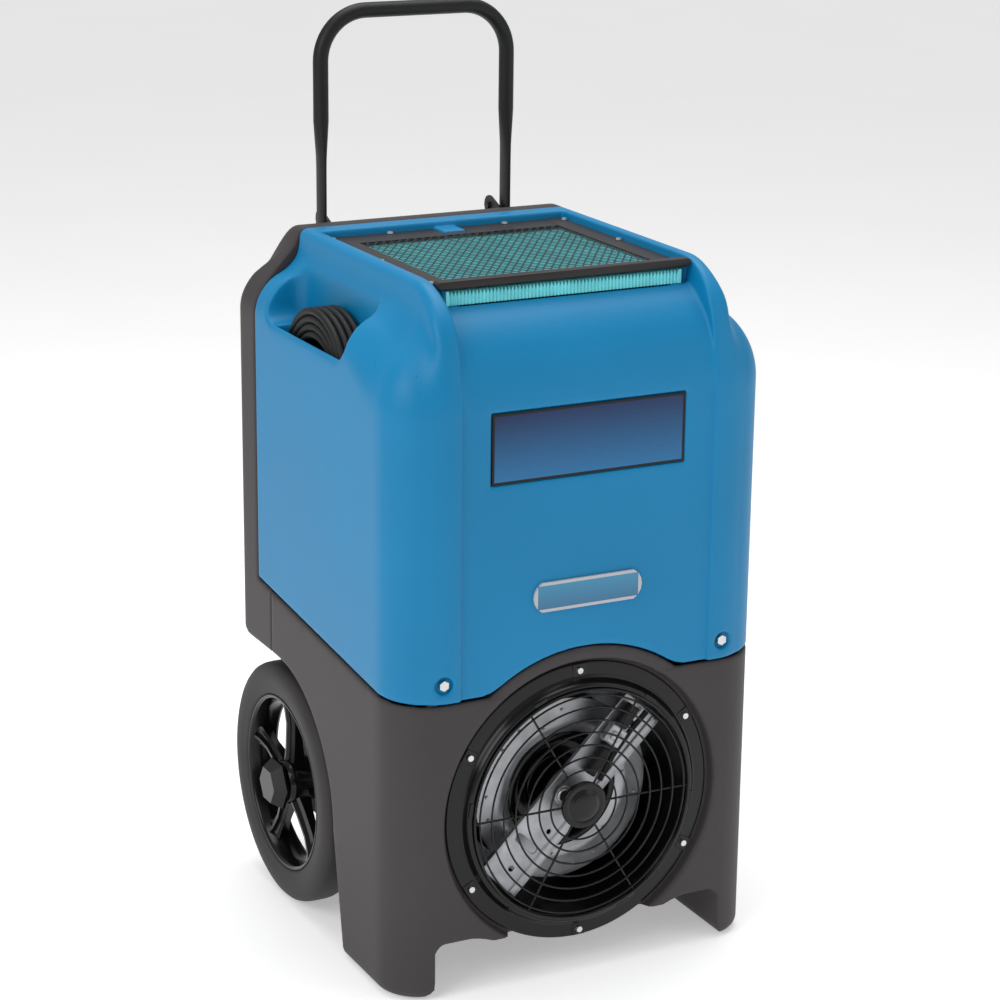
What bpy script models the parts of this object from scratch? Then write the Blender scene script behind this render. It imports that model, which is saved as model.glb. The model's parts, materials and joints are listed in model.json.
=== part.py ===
# Portable commercial dehumidifier: blue front housing, grey base and rear housings, fan outlet at
# the front, filter on top, two wheels, folding handle, and the refrigeration set inside.
# Metres, +Z up, fan outlet towards -Y. The origin is on the floor at the centre of the footprint.

import math

import bmesh
import bpy
from mathutils import Matrix, Vector

# ---------------------------------------------------------------- sizes
GAP = 0.0003                 # clearance between touching pieces
WALL = 0.0055                # thickness of the moulded housings
HALF_WIDTH = 0.243
FRONT = -0.250
REAR = 0.2175
SHOULDER = 0.795             # top of the body beside the filter
CREST = 0.842                # top of the raised rim round the filter
CORNER_R = 0.055             # upright front corners
BROW_R = 0.095               # front edge of the top
SHOULDER_R = 0.055           # side edges of the top
HOUSING_SPLIT = 0.157        # front and rear housings meet here
BASE_SPLIT = 0.115           # base and rear housing meet here, below the seam

FAN_Z = 0.2125
ARCH_R = 0.197               # arch of the seam round the fan
COLLAR_R = 0.175
THROAT_R = 0.147

WHEEL_Y = 0.098
WHEEL_R = 0.1524
WHEEL_X = 0.219
TYRE_HALF = 0.024
WELL_R = 0.167
WELL_X = 0.185
AXLE_R = 0.008

RIB_IN = 0.163               # inner face of the raised rim
RIB_OUT = 0.182
LEDGE_IN = 0.152             # ledge that carries the filter frame
LEDGE_Z = 0.8297
FRAME_TOP = 0.8335
FILTER_BACK = 0.1035
FILTER_FRONT = -0.187

POCKET_Y = (-0.096, 0.099)
POCKET_X = (0.190, 0.2375)
POCKET_Z = (0.592, 0.739)
POCKET_MOUTH_Y = (-0.110, 0.125)

CORD_D = 0.0093
COIL_CENTRE = (-0.2138, 0.0, 0.6865)
COIL_R = 0.0740              # middle of the coil's section, four cords wide and four deep
COIL_HALF_X = 0.0192
COIL_HALF_R = 0.0187

HANDLE_X = 0.127
HANDLE_Y = 0.216
HANDLE_TOP = 1.092
TUBE_R = 0.0095
HANDLE_BEND = 0.060
PIVOT_Z = 0.806

COIL_STACK_Z = (0.460, 0.770)

# ---------------------------------------------------------------- scene and helpers
for old in list(bpy.data.objects):
    bpy.data.objects.remove(old, do_unlink=True)

PARTS = bpy.data.collections.new("dehumidifier")
TOOLS = bpy.data.collections.new("cutters")
bpy.context.scene.collection.children.link(PARTS)
bpy.context.scene.collection.children.link(TOOLS)
TOOLS.hide_render = True

COLOURS = {
    "blue_plastic": ((0.0, 0.19, 0.39), 0.0, 0.45),
    "grey_plastic": ((0.065, 0.058, 0.060), 0.0, 0.55),
    "black_gloss": ((0.006, 0.006, 0.007), 0.0, 0.22),
    "black_steel": ((0.012, 0.012, 0.013), 0.2, 0.42),
    "galvanised": ((0.55, 0.56, 0.57), 0.9, 0.38),
    "zinc": ((0.72, 0.72, 0.73), 1.0, 0.28),
    "rubber": ((0.035, 0.033, 0.034), 0.0, 0.75),
    "teal_mesh": ((0.11, 0.52, 0.50), 0.0, 0.85),
    "navy_panel": ((0.008, 0.02, 0.09), 0.0, 0.30),
    "badge": ((0.03, 0.26, 0.50), 0.3, 0.30),
    "copper": ((0.80, 0.38, 0.20), 1.0, 0.30),
    "aluminium_fin": ((0.75, 0.76, 0.78), 1.0, 0.40),
    "button_grey": ((0.30, 0.31, 0.32), 0.0, 0.50),
    "window": ((0.02, 0.03, 0.03), 0.0, 0.10),
}


def material(slot):
    made = bpy.data.materials.get(slot)
    if made:
        return made
    colour, metal, rough = COLOURS[slot]
    made = bpy.data.materials.new(slot)
    made.use_nodes = True
    shader = made.node_tree.nodes["Principled BSDF"]
    shader.inputs["Base Color"].default_value = (*colour, 1.0)
    shader.inputs["Metallic"].default_value = metal
    shader.inputs["Roughness"].default_value = rough
    made.diffuse_color = (*colour, 1.0)
    return made


def put(name, bm, slot=None, origin=(0.0, 0.0, 0.0)):
    """A mesh object from bm. With no slot it is a cutter."""
    bmesh.ops.recalc_face_normals(bm, faces=bm.faces)
    bmesh.ops.translate(bm, verts=bm.verts, vec=-Vector(origin))
    mesh = bpy.data.meshes.new(name)
    bm.to_mesh(mesh)
    bm.free()
    mesh.shade_smooth()
    mesh.set_sharp_from_angle(angle=math.radians(32))
    obj = bpy.data.objects.new(name, mesh)
    obj.location = origin
    if slot:
        mesh.materials.append(material(slot))
        PARTS.objects.link(obj)
    else:
        TOOLS.objects.link(obj)
        obj.hide_render = True
        obj.display_type = "WIRE"
    return obj


def block(x, y, z):
    """A box between two limits on each axis."""
    bm = bmesh.new()
    centre = Vector(((x[0] + x[1]) / 2, (y[0] + y[1]) / 2, (z[0] + z[1]) / 2))
    size = Vector((abs(x[1] - x[0]), abs(y[1] - y[0]), abs(z[1] - z[0])))
    spot = Matrix.Translation(centre) @ Matrix.Diagonal(size).to_4x4()
    bmesh.ops.create_cube(bm, size=1.0, matrix=spot)
    return bm


def prism(outline, axis, low, high):
    """Extrudes a flat outline along an axis. The outline holds the other two coordinates in order."""
    bm = bmesh.new()
    places = {"X": lambda a, b: (low, a, b), "Y": lambda a, b: (a, low, b), "Z": lambda a, b: (a, b, low)}
    ring = [bm.verts.new(places[axis](a, b)) for a, b in outline]
    bm.faces.new(ring)
    grown = bmesh.ops.extrude_face_region(bm, geom=bm.faces[:])
    moved = [item for item in grown["geom"] if isinstance(item, bmesh.types.BMVert)]
    bmesh.ops.translate(bm, verts=moved, vec=AXES[axis] * (high - low))
    return bm


AXES = {"X": Vector((1, 0, 0)), "Y": Vector((0, 1, 0)), "Z": Vector((0, 0, 1))}


def on_axis(axis, centre, h):
    """The point at height h on an axis through centre, which holds the other two coordinates."""
    a, b = centre
    return {"X": Vector((h, a, b)), "Y": Vector((a, h, b)), "Z": Vector((a, b, h))}[axis]


def turned(profile, axis, centre, steps):
    """Spins a closed (radius, height) profile about an axis through centre. Height is absolute."""
    bm = bmesh.new()
    out = {"X": Vector((0, 1, 0)), "Y": Vector((1, 0, 0)), "Z": Vector((1, 0, 0))}[axis]
    ring = [bm.verts.new(on_axis(axis, centre, h) + out * r) for r, h in profile]
    for i, vert in enumerate(ring):
        one, two = profile[i], profile[(i + 1) % len(profile)]
        if one[0] > 0.0 or two[0] > 0.0:
            bm.edges.new((vert, ring[(i + 1) % len(ring)]))
    bmesh.ops.spin(bm, geom=bm.verts[:] + bm.edges[:], cent=on_axis(axis, centre, 0.0), axis=AXES[axis],
                   angle=2 * math.pi, steps=steps, use_merge=True)
    bmesh.ops.remove_doubles(bm, verts=bm.verts, dist=0.00002)
    return bm


TURN_TO = {"X": Matrix.Rotation(math.pi / 2, 4, "Y"), "Y": Matrix.Rotation(math.pi / 2, 4, "X"),
           "Z": Matrix.Identity(4)}


def rod(axis, centre, radius, low, high, steps=12):
    """A round bar along an axis."""
    bm = bmesh.new()
    spot = Matrix.Translation(on_axis(axis, centre, (low + high) / 2)) @ TURN_TO[axis]
    bmesh.ops.create_cone(bm, cap_ends=True, segments=steps, radius1=radius, radius2=radius,
                          depth=abs(high - low), matrix=spot)
    return bm


def skin(rings):
    """Closes a row of equal rings into one solid with flat ends."""
    bm = bmesh.new()
    made = [[bm.verts.new(spot) for spot in ring] for ring in rings]
    count = len(made[0])
    for one, two in zip(made, made[1:]):
        for i in range(count):
            j = (i + 1) % count
            bm.faces.new((one[i], one[j], two[j], two[i]))
    bm.faces.new(made[0])
    bm.faces.new(made[-1])
    return bm


def boolean(target, bm, operation, name="cut"):
    tool = put(name, bm)
    step = target.modifiers.new(name, "BOOLEAN")
    step.operation = operation
    step.solver = "EXACT"
    step.object = tool
    return tool


def cut(target, bm, name="cut"):
    return boolean(target, bm, "DIFFERENCE", name)


def join(target, bm, name="join"):
    return boolean(target, bm, "UNION", name)


def arc(cx, cy, r, start, end, count):
    points = []
    for k in range(count + 1):
        a = math.radians(start + (end - start) * k / count)
        points.append((cx + r * math.cos(a), cy + r * math.sin(a)))
    return points


def seam(y):
    """Height of the seam between the base and the blue housing."""
    return 0.366 + 0.0972 * (y - FRONT)


# ---------------------------------------------------------------- body sections
def section(y, inset, bottom, crest_half=0.0):
    """Outline of the body across y, drawn in by inset, as points (x, y, z) from the left foot up and over."""
    half = HALF_WIDTH - inset
    top = SHOULDER - inset
    reach = y - (FRONT + inset)
    corner = CORNER_R - inset
    if reach < corner:
        half -= corner - math.sqrt(max(corner ** 2 - (corner - reach) ** 2, 0.0))
    brow = BROW_R - inset
    if reach < brow:
        top -= brow - math.sqrt(max(brow ** 2 - (brow - reach) ** 2, 0.0))
    back = (REAR - inset) - y
    edge = 0.016
    if back < edge:
        pull = edge - math.sqrt(max(edge ** 2 - (edge - back) ** 2, 0.0))
        half -= pull
        top -= pull
    r = SHOULDER_R - inset
    left = arc(-half + r, top - r, r, 180, 90, 6)
    right = arc(half - r, top - r, r, 90, 0, 6)
    outline = [(-half, bottom)] + left + right + [(half, bottom)]
    return [(x, y, z) for x, z in outline]


def stations(inset, end):
    start = FRONT + inset
    steps = [0.0, 0.004, 0.013, 0.028, 0.050, 0.072, 0.095]
    found = [start + s * (BROW_R - inset) / BROW_R for s in steps]
    return found + [end]


# ---------------------------------------------------------------- blue front housing
def rim_outline(inset):
    """Side view of the raised rim, with its nose running over the front edge."""
    nose = arc(-0.160, 0.756, 0.086 - inset, 180, 90, 6)
    return [(-0.205, 0.715), (-0.2455, 0.722)] + nose + [(HOUSING_SPLIT, CREST), (HOUSING_SPLIT, 0.775)]


outer = skin([section(y, 0.0, seam(y)) for y in stations(0.0, HOUSING_SPLIT)])
front_housing = put("front_housing", outer, "blue_plastic")
inner = put(
    "front_hollow",
    skin([section(y, WALL, seam(y) - 0.02) for y in stations(WALL, HOUSING_SPLIT + 0.02)]),
)
for side in (-1, 1):
    cut(inner, block((side * 0.1845, side * 0.260), (POCKET_Y[0] - WALL, POCKET_Y[1] + WALL),
                     (POCKET_Z[0] - WALL, POCKET_Z[1] + 0.006)), "pocket_tub")
    cut(inner, block((side * 0.1845, side * 0.262), (POCKET_MOUTH_Y[0] - WALL, POCKET_MOUTH_Y[1] + WALL),
                     (POCKET_Z[1] - WALL, 0.850)), "pocket_rim")
for side in (-1, 1):
    join(front_housing, prism(rim_outline(0.0), "X", side * RIB_IN, side * RIB_OUT), "rim_side")
    join(front_housing, block((side * LEDGE_IN, side * (RIB_IN + 0.004)), (-0.176, 0.140), (0.780, LEDGE_Z)),
         "frame_ledge")
join(front_housing, block((-0.172, 0.172), (0.130, HOUSING_SPLIT), (0.778, CREST)), "rim_back")
join(front_housing, block((-0.170, 0.170), (FILTER_BACK + 0.0015, 0.140), (0.779, LEDGE_Z)), "back_ledge")
lip = [(-0.1874, 0.782)] + arc(-0.145, 0.7150, 0.105, 113.8, 171, 8) + [(-0.2380, 0.7220)]
join(front_housing, prism(lip, "X", -RIB_IN - 0.001, RIB_IN + 0.001), "front_lip")
for side in (-1, 1):
    join(front_housing, block((side * 0.1375, side * 0.1535), (-0.1890, FILTER_BACK + 0.0040), (0.7810, 0.8120)),
         "filter_rail")
hollow = front_housing.modifiers.new("hollow", "BOOLEAN")
hollow.operation = "DIFFERENCE"
hollow.solver = "EXACT"
hollow.object = inner
for side in (-1, 1):
    cut(front_housing, block((side * POCKET_X[0], side * POCKET_X[1]), POCKET_Y,
                             (POCKET_Z[0], POCKET_Z[1] + 0.006)), "pocket")
    cut(front_housing, block((side * POCKET_X[0], side * 0.270), POCKET_MOUTH_Y,
                             (POCKET_Z[1], 0.860)), "pocket_mouth")
    cut(front_housing, rod("Y", (side * 0.183, 0.390), 0.0105, -0.270, -0.2472, 16), "bolt_recess")
    cut(front_housing, rod("Y", (side * 0.183, 0.390), 0.0042, -0.260, -0.230, 12), "bolt_hole")
cut(front_housing, block((-0.136, 0.136), (-0.150, 0.088), (0.760, 0.800)), "air_opening")
cut(front_housing, block((-0.1255, 0.1255), (-0.260, -0.2470), (0.6165, 0.7015)), "label_recess")
cut(front_housing, rod("Y", (0.0, FAN_Z), ARCH_R, -0.270, -0.200, 40), "fan_arch")

# ---------------------------------------------------------------- grey base
LEG_IN = 0.190


def plan(inset, back):
    corner = CORNER_R - inset
    left = arc(-HALF_WIDTH + inset + corner, FRONT + inset + corner, corner, 180, 270, 6)
    right = arc(HALF_WIDTH - inset - corner, FRONT + inset + corner, corner, 270, 360, 6)
    return [(-HALF_WIDTH + inset, back)] + left + right + [(HALF_WIDTH - inset, back)]


def base_side(inset):
    """Side view of the base: floor, back wall, and the two heights of its top edge."""
    back = 0.200 - inset
    return [
        (FRONT - 0.01, 0.040 + inset), (-0.240, 0.010 + inset), (-0.222, inset), (back - 0.03, inset),
        (back, 0.03 + inset), (back, 0.3195), (BASE_SPLIT - 0.0003, 0.3195),
        (BASE_SPLIT - 0.0003, seam(BASE_SPLIT) - 0.0004), (FRONT - 0.01, seam(FRONT - 0.01) - 0.0004),
    ]


def well_outline(r, foot, top, reach=0.300):
    """Side view of the wheel arch, running down to the back of the foot."""
    start = math.degrees(math.asin(min((top - 0.1524) / r, 1.0)))
    curve = arc(WHEEL_Y, 0.1524, r, start, 180, 12)
    return [(reach, top)] + curve + [(foot, 0.020), (foot, -0.020), (reach, -0.020)]


base = put("base_housing", prism(plan(0.0, 0.200), "Z", 0.0, 0.420), "grey_plastic")
boolean(base, prism(base_side(0.0), "X", -0.30, 0.30), "INTERSECT", "base_profile")
join(base, rod("Y", (0.0, FAN_Z), ARCH_R - 0.0012, FRONT, -0.2330, 40), "fan_disc")
for side in (-1, 1):
    join(base, block((side * 0.168, side * 0.193), (-0.2425, -0.2385), (0.340, 0.404)), "bolt_tab")
    join(base, block((side * 0.1685, side * 0.1925), (-0.2470, -0.2388), (0.3385, 0.3600)), "tab_root")
tub = put("base_hollow", prism(plan(WALL, 0.250), "Z", 0.0745, 0.500))
boolean(tub, prism([(FRONT + WALL, 0.0), (0.1945, 0.0), (0.1945, 0.6), (FRONT + WALL, 0.6)],
                   "X", -0.30, 0.30), "INTERSECT", "tub_profile")
cut(tub, rod("Y", (0.0, FAN_Z), ARCH_R - 0.0002, -0.260, -0.2336, 44), "tub_front")
join(tub, rod("Y", (0.0, FAN_Z), 0.1785, -0.2320, -0.0985, 37), "tub_belly")
for side in (-1, 1):
    cut(tub, prism(well_outline(WELL_R + WALL, -0.100, 0.330), "X", side * (WELL_X - WALL), side * 0.30),
        "well_wall")
    cut(tub, block((side * 0.168, side * 0.193), (-0.2425, -0.2385), (0.330, 0.410)), "tab_backing")
    cut(tub, block((side * 0.1685, side * 0.1925), (-0.2500, -0.2388), (0.3385, 0.3600)), "tab_root_backing")
    join(tub, block((side * (LEG_IN + 0.007), side * (HALF_WIDTH - 0.0065)), (-0.190, -0.112), (0.010, 0.080)),
         "leg_hollow")
for side in (-1, 1):
    cut(tub, prism([(side * 0.1400, 0.0686), (side * 0.2000, 0.0686), (side * 0.2000, 0.1137)], "Y", -0.0815, 0.300),
        "raised_floor")
shell = base.modifiers.new("hollow", "BOOLEAN")
shell.operation = "DIFFERENCE"
shell.solver = "EXACT"
shell.object = tub
for side in (-1, 1):
    cut(base, prism(well_outline(WELL_R, -0.094, 0.3198), "X", side * WELL_X, side * 0.30), "wheel_arch")
    cut(base, rod("Y", (side * 0.183, 0.390), 0.0042, -0.260, -0.230, 12), "tab_hole")
cut(base, block((-WELL_X, WELL_X), (-0.094, 0.300), (-0.020, 0.052)), "under_rear")
for side in (-1, 1):
    cut(base, prism([(side * 0.1060, 0.0370), (side * 0.2000, 0.0370), (side * 0.2000, 0.1075)], "Y", -0.0780, 0.300),
        "sloped_floor")
foot = arc(LEG_IN + 0.022, 0.0215, 0.022, 270, 180, 5)
belly = [(-x, z) for x, z in foot[::-1]] + [(-LEG_IN - 0.022, -0.02), (LEG_IN + 0.022, -0.02)] + foot
belly = belly + [(LEG_IN, 0.067), (0.1120, 0.067)]
belly = belly + arc(0.0, FAN_Z, 0.1855, -53, -127, 10) + [(-0.1120, 0.067), (-LEG_IN, 0.067)]
cut(base, prism(belly, "Y", -0.30, -0.093), "under_front")
dish = [(0.0, -0.262), (0.1910, -0.262), (0.1800, -0.2500), (0.1765, -0.2365), (0.0, -0.2365)]
cut(base, turned(dish, "Y", (0.0, FAN_Z), 40), "collar_seat")
cut(base, rod("Y", (0.0, FAN_Z), 0.1512, -0.260, -0.226, 36), "outlet_hole")
for side in (-1, 1):
    cut(base, rod("X", (WHEEL_Y, 0.1524), AXLE_R + 0.0006, side * 0.1700, side * 0.1950, 12), "axle_hole")
cut(base, rod("Y", (0.120, 0.285), 0.0105, 0.180, 0.220, 12), "drain_hole")

# ---------------------------------------------------------------- grey rear housing
def rear_stations(inset):
    end = REAR - inset
    return [BASE_SPLIT + GAP, 0.180, end - 0.0160, end - 0.010, end - 0.005, end - 0.0015, end]


def rear_section(y, inset, bottom):
    """The body outline with a rounded lower back edge."""
    back = (REAR - inset) - y
    lift = 0.0
    if back < 0.030:
        lift = 0.030 - math.sqrt(max(0.030 ** 2 - (0.030 - back) ** 2, 0.0))
    return section(y, inset, bottom + lift)


rear = put("rear_housing", skin([rear_section(y, 0.0, 0.320) for y in rear_stations(0.0)]), "grey_plastic")
def crest_side(front, bottom, inset):
    """Side view of the crest, whose back falls away in a wide curve."""
    r = 0.0440 - inset
    start = 90 - math.degrees(math.asin(max(front - 0.1720, 0.0) / r))
    curve = arc(0.1720, 0.7980, r, start, 0, 8)
    if front < 0.172:
        curve = [(front, CREST - inset)] + curve
    return [(front, bottom)] + curve + [(0.2160 - inset, bottom)]


join(rear, prism(crest_side(0.140, 0.770, 0.0), "X", -RIB_OUT, RIB_OUT), "crest")
rear_inner = [BASE_SPLIT - 0.02, 0.180, REAR - WALL - 0.0155, REAR - WALL - 0.008, REAR - WALL]
cut(rear, skin([rear_section(y, WALL, 0.320 + WALL) for y in rear_inner]), "rear_hollow")
cut(rear, block((-0.30, 0.30), (0.05, HOUSING_SPLIT + GAP), (seam(HOUSING_SPLIT) + 0.0008, 0.90)), "split")
cut(rear, prism([(0.09, seam(0.09) - 0.0004), (HOUSING_SPLIT + GAP, seam(HOUSING_SPLIT + GAP) - 0.0004),
                 (HOUSING_SPLIT + GAP, 0.43), (0.09, 0.43)], "X", -0.30, 0.30), "seam_cut")
cut(rear, block((-0.30, 0.30), (0.10, BASE_SPLIT + GAP), (0.30, 0.45)), "base_cut")
cut(rear, prism(crest_side(0.130, 0.760, 0.0056), "X", -0.172, 0.172), "crest_hollow")
for side in (-1, 1):
    cut(rear, block((side * 0.112, side * 0.142), (0.1880, 0.240), (0.7820, 0.860)), "handle_notch")
    join(rear, prism(crest_side(0.1820, 0.776, 0.0014), "X", side * 0.106, side * 0.112), "notch_wall_in")
    join(rear, prism(crest_side(0.1820, 0.776, 0.0014), "X", side * 0.142, side * 0.148), "notch_wall_out")
    join(rear, block((side * 0.108, side * 0.146), (0.1818, 0.1880), (0.776, 0.8370)), "notch_wall_front")
    join(rear, block((side * 0.108, side * 0.146), (0.184, 0.2150), (0.7765, 0.7820)), "notch_floor")
cut(rear, block((-0.092, 0.092), (0.200, 0.240), (0.664, 0.736)), "panel_opening")
cut(rear, block((-0.1005, 0.1005), (0.2145, 0.240), (0.6545, 0.7455)), "panel_recess")

# ---------------------------------------------------------------- front trim
put("label_panel", block((-0.124, 0.124), (-0.2497, -0.2473), (0.6180, 0.7000)), "navy_panel")
badge_edge = arc(0.0505, 0.478, 0.020, -62, 62, 6) + arc(-0.0505, 0.478, 0.020, 118, 242, 6)
put("badge_plate", prism(badge_edge, "Y", -0.2535, FRONT - GAP), "badge")
for side, word in ((-1, "left"), (1, "right")):
    spot = (side * 0.183, 0.390)
    bolt = put("front_bolt_" + word, rod("Y", spot, 0.0063, -0.2525, -0.2475, 6), "zinc")
    join(bolt, rod("Y", spot, 0.0037, -0.2480, -0.2330, 10), "shank")

# ---------------------------------------------------------------- outlet collar, guard and screws
FAN = (0.0, FAN_Z)
collar_profile = [
    (0.1500, -0.2368), (0.1738, -0.2368), (0.1738, -0.2396), (0.1560, -0.2406), (0.1490, -0.2500),
    (0.1430, -0.2500), (0.1415, -0.2440), (0.1455, -0.2050), (THROAT_R, -0.1000), (0.1495, -0.1000),
]
collar = put("outlet_collar", turned(collar_profile, "Y", FAN, 40), "black_gloss")
for k in range(6):
    a = math.radians(31 + 60 * k)
    spot = (0.165 * math.cos(a), FAN_Z + 0.165 * math.sin(a))
    cut(collar, rod("Y", spot, 0.0023, -0.260, -0.230, 8), "screw_hole")
    screw_profile = [(0, -0.2371), (0.0018, -0.2371), (0.0018, -0.2410), (0.0048, -0.2410),
                     (0.0038, -0.2438), (0, -0.2438)]
    put("collar_screw_%d" % (k + 1), turned(screw_profile, "Y", spot, 8), "zinc")

RING_STEP = 0.0155
RING_W = 0.0026
SPOKE_W = 0.0026


def guard_bar(turn):
    bm = block((-0.1428, 0.1428), (-0.2530, -0.2510), (-SPOKE_W / 2, SPOKE_W / 2))
    bmesh.ops.transform(bm, matrix=Matrix.Translation((0, 0, FAN_Z)) @ Matrix.Rotation(math.radians(turn), 4, "Y"),
                        verts=bm.verts)
    return bm


guard = put("fan_guard", guard_bar(0), "black_steel")
for turn in (60, 120):
    join(guard, guard_bar(turn), "spoke")
for k in range(8):
    r = 0.0435 + RING_STEP * k
    low, high = (r - RING_W / 2, r + RING_W / 2) if k < 7 else (0.1412, 0.1445)
    ring = [(low, -0.2534), (high, -0.2534), (high, -0.2506), (low, -0.2506)]
    join(guard, turned(ring, "Y", FAN, 24 + 2 * k), "ring")
hub_profile = [(0, -0.2507), (0.0290, -0.2507), (0.0290, -0.2547), (0.0270, -0.2557), (0.0170, -0.2557),
               (0.0160, -0.2572), (0, -0.2572)]
join(guard, turned(hub_profile, "Y", FAN, 20), "guard_hub")

# ---------------------------------------------------------------- motor, impeller and inlet
SLANT = Matrix.Translation((0, 0, FAN_Z)) @ Matrix.Rotation(math.radians(-45), 4, "Y")


def slanted(bm):
    bmesh.ops.transform(bm, matrix=SLANT, verts=bm.verts)
    return bm


bracket = put("motor_bracket", slanted(block((-0.1360, 0.1360), (-0.2270, -0.2250), (-0.026, 0.039))),
              "galvanised")
join(bracket, slanted(block((-0.1390, 0.1390), (-0.2300, -0.2260), (-0.0215, -0.0135))), "rib")
join(bracket, slanted(block((-0.1350, 0.1350), (-0.2310, -0.2260), (0.0360, 0.0390))), "flange")
motor_profile = [(0, -0.2245), (0.036, -0.2245), (0.036, -0.2120), (0.0080, -0.2120), (0.0080, -0.1620),
                 (0, -0.1620)]
put("fan_motor", turned(motor_profile, "Y", FAN, 16), "black_steel")
rotor_profile = [(0.0086, -0.1680), (0.0666, -0.1680), (0.0666, -0.1968), (0.0720, -0.1968), (0.0720, -0.1990),
                 (0.0650, -0.2000), (0.0600, -0.1940), (0.0560, -0.1790), (0.0400, -0.1740), (0.0380, -0.1800),
                 (0.0300, -0.1820), (0.0086, -0.1820)]
put("fan_rotor", turned(rotor_profile, "Y", FAN, 24), "black_gloss", (0, -0.190, FAN_Z))
disc_profile = [(0.0676, -0.1965), (0.1135, -0.1965), (0.1135, -0.1945), (0.0676, -0.1945)]
impeller = put("fan_impeller", turned(disc_profile, "Y", FAN, 28), "galvanised", (0, -0.190, FAN_Z))
shroud = [(0.0800, -0.1040), (0.0815, -0.1040), (0.0900, -0.1120), (0.1160, -0.1190), (0.1160, -0.1210),
          (0.0890, -0.1140), (0.0800, -0.1060)]
join(impeller, turned(shroud, "Y", FAN, 28), "shroud")
for k in range(7):
    outline = []
    for offset in (0.0, 0.0020):
        edge = []
        for m in range(4):
            r = 0.070 + m * 0.0142 + offset * 0.3
            a = math.radians(360 / 7 * k - 13 * m) + offset / r
            edge.append((r * math.cos(a), FAN_Z + r * math.sin(a)))
        outline += edge if offset == 0.0 else edge[::-1]
    blade = prism(outline, "Y", -0.1955, -0.1165)
    join(impeller, blade, "blade")
cut(impeller, turned([(0.0, -0.1280), (0.0, -0.0900), (0.130, -0.0900), (0.130, -0.1215), (0.1165, -0.1190),
                      (0.0900, -0.1118), (0.0820, -0.1038), (0.0795, -0.1036), (0.0795, -0.1280)],
                     "Y", FAN, 28), "blade_trim")
inlet_profile = [(0.0740, -0.1120), (0.0755, -0.1120), (0.0770, -0.0980), (0.0850, -0.0900), (0.1000, -0.0885),
                 (0.1000, -0.0860), (0.0840, -0.0860), (0.0750, -0.0960)]
put("inlet_ring", turned(inlet_profile, "Y", FAN, 24), "galvanised")
wall = [(-0.179, 0.0755), (0.179, 0.0755), (0.179, 0.1180), (0.236, 0.1180), (0.236, 0.3780),
        (-0.236, 0.3780), (-0.236, 0.1180), (-0.179, 0.1180)]
bulkhead = put("partition", prism(wall, "Y", -0.0857, -0.0830), "galvanised")
cut(bulkhead, rod("Y", FAN, 0.0780, -0.10, -0.07, 32), "inlet_hole")


def tube(name, path, radius, slot, bevel=1):
    """A round tube along a path, as one welded mesh."""
    curve = bpy.data.curves.new(name, "CURVE")
    curve.dimensions = "3D"
    curve.bevel_depth = radius
    curve.bevel_resolution = bevel
    curve.use_fill_caps = True
    spline = curve.splines.new("POLY")
    spline.points.add(len(path) - 1)
    for point, spot in zip(spline.points, path):
        point.co = (*spot, 1.0)
    obj = bpy.data.objects.new(name, curve)
    PARTS.objects.link(obj)
    mesh = bpy.data.meshes.new_from_object(obj)
    bpy.data.objects.remove(obj, do_unlink=True)
    bm = bmesh.new()
    bm.from_mesh(mesh)
    bmesh.ops.remove_doubles(bm, verts=bm.verts, dist=0.00001)
    return put(name, bm, slot)


tube("motor_cable", [(0.030, -0.2355, 0.232), (0.048, -0.2355, 0.262), (0.070, -0.2355, 0.288),
                     (0.086, -0.2355, 0.303), (0.0920, -0.2355, 0.309)], 0.0035, "rubber")

# ---------------------------------------------------------------- filter and its frame
pleats = []
PLEAT = 0.0100
count = int((FILTER_BACK - FILTER_FRONT) / PLEAT)
for k in range(count + 1):
    y = FILTER_FRONT + (FILTER_BACK - FILTER_FRONT) * k / count
    pleats.append((y, 0.8285))
    if k < count:
        pleats.append((y + (FILTER_BACK - FILTER_FRONT) / count / 2, 0.8225))
under = [(y, z - 0.0102) for y, z in pleats]
element = prism(pleats + under[::-1], "X", -0.1485, 0.1485)
filter_element = put("filter_element", element, "teal_mesh", (0.0, FILTER_FRONT, 0.820))
for side in (-1, 1):
    join(filter_element, block((side * 0.1480, side * 0.1512), (FILTER_FRONT, FILTER_BACK), (0.8124, 0.8290)),
         "filter_side")

FRAME_HALF = 0.1622
edge = [(-FRAME_HALF, -0.1780), (FRAME_HALF, -0.1780), (FRAME_HALF, 0.1290), (0.016, 0.1290), (0.010, 0.1120),
        (-0.010, 0.1120), (-0.016, 0.1290), (-FRAME_HALF, 0.1290)]
COLS, ROWS = 9, 5
windows = bmesh.new()
for i in range(COLS):
    for j in range(ROWS):
        w = 0.270 / COLS
        d = 0.228 / ROWS
        centre = Vector((-0.135 + w * (i + 0.5), -0.143 + d * (j + 0.5), 0.832))
        spot = Matrix.Translation(centre) @ Matrix.Diagonal((w - 0.004, d - 0.004, 0.020, 1.0))
        bmesh.ops.create_cube(windows, size=1.0, matrix=spot)
FRAME_SCREWS = [(-0.078, 0.121), (0.078, 0.121), (-0.1575, 0.112), (0.1575, 0.112), (-0.1575, -0.027),
                (0.1575, -0.027), (-0.1575, -0.160), (0.1575, -0.160)]
frame_piece = put("filter_frame", prism(edge, "Z", LEDGE_Z + GAP, FRAME_TOP), "black_steel")
cut(frame_piece, windows, "windows")
for x, y in FRAME_SCREWS:
    cut(frame_piece, rod("Z", (x, y), 0.0022, 0.820, 0.840, 6), "screw_hole")
bar = arc(-0.1842, 0.8365, 0.0048, 90, 270, 4) + arc(-0.1795, 0.8365, 0.0048, 270, 450, 4)
join(frame_piece, prism(bar, "X", -FRAME_HALF, FRAME_HALF), "front_bar")
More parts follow.
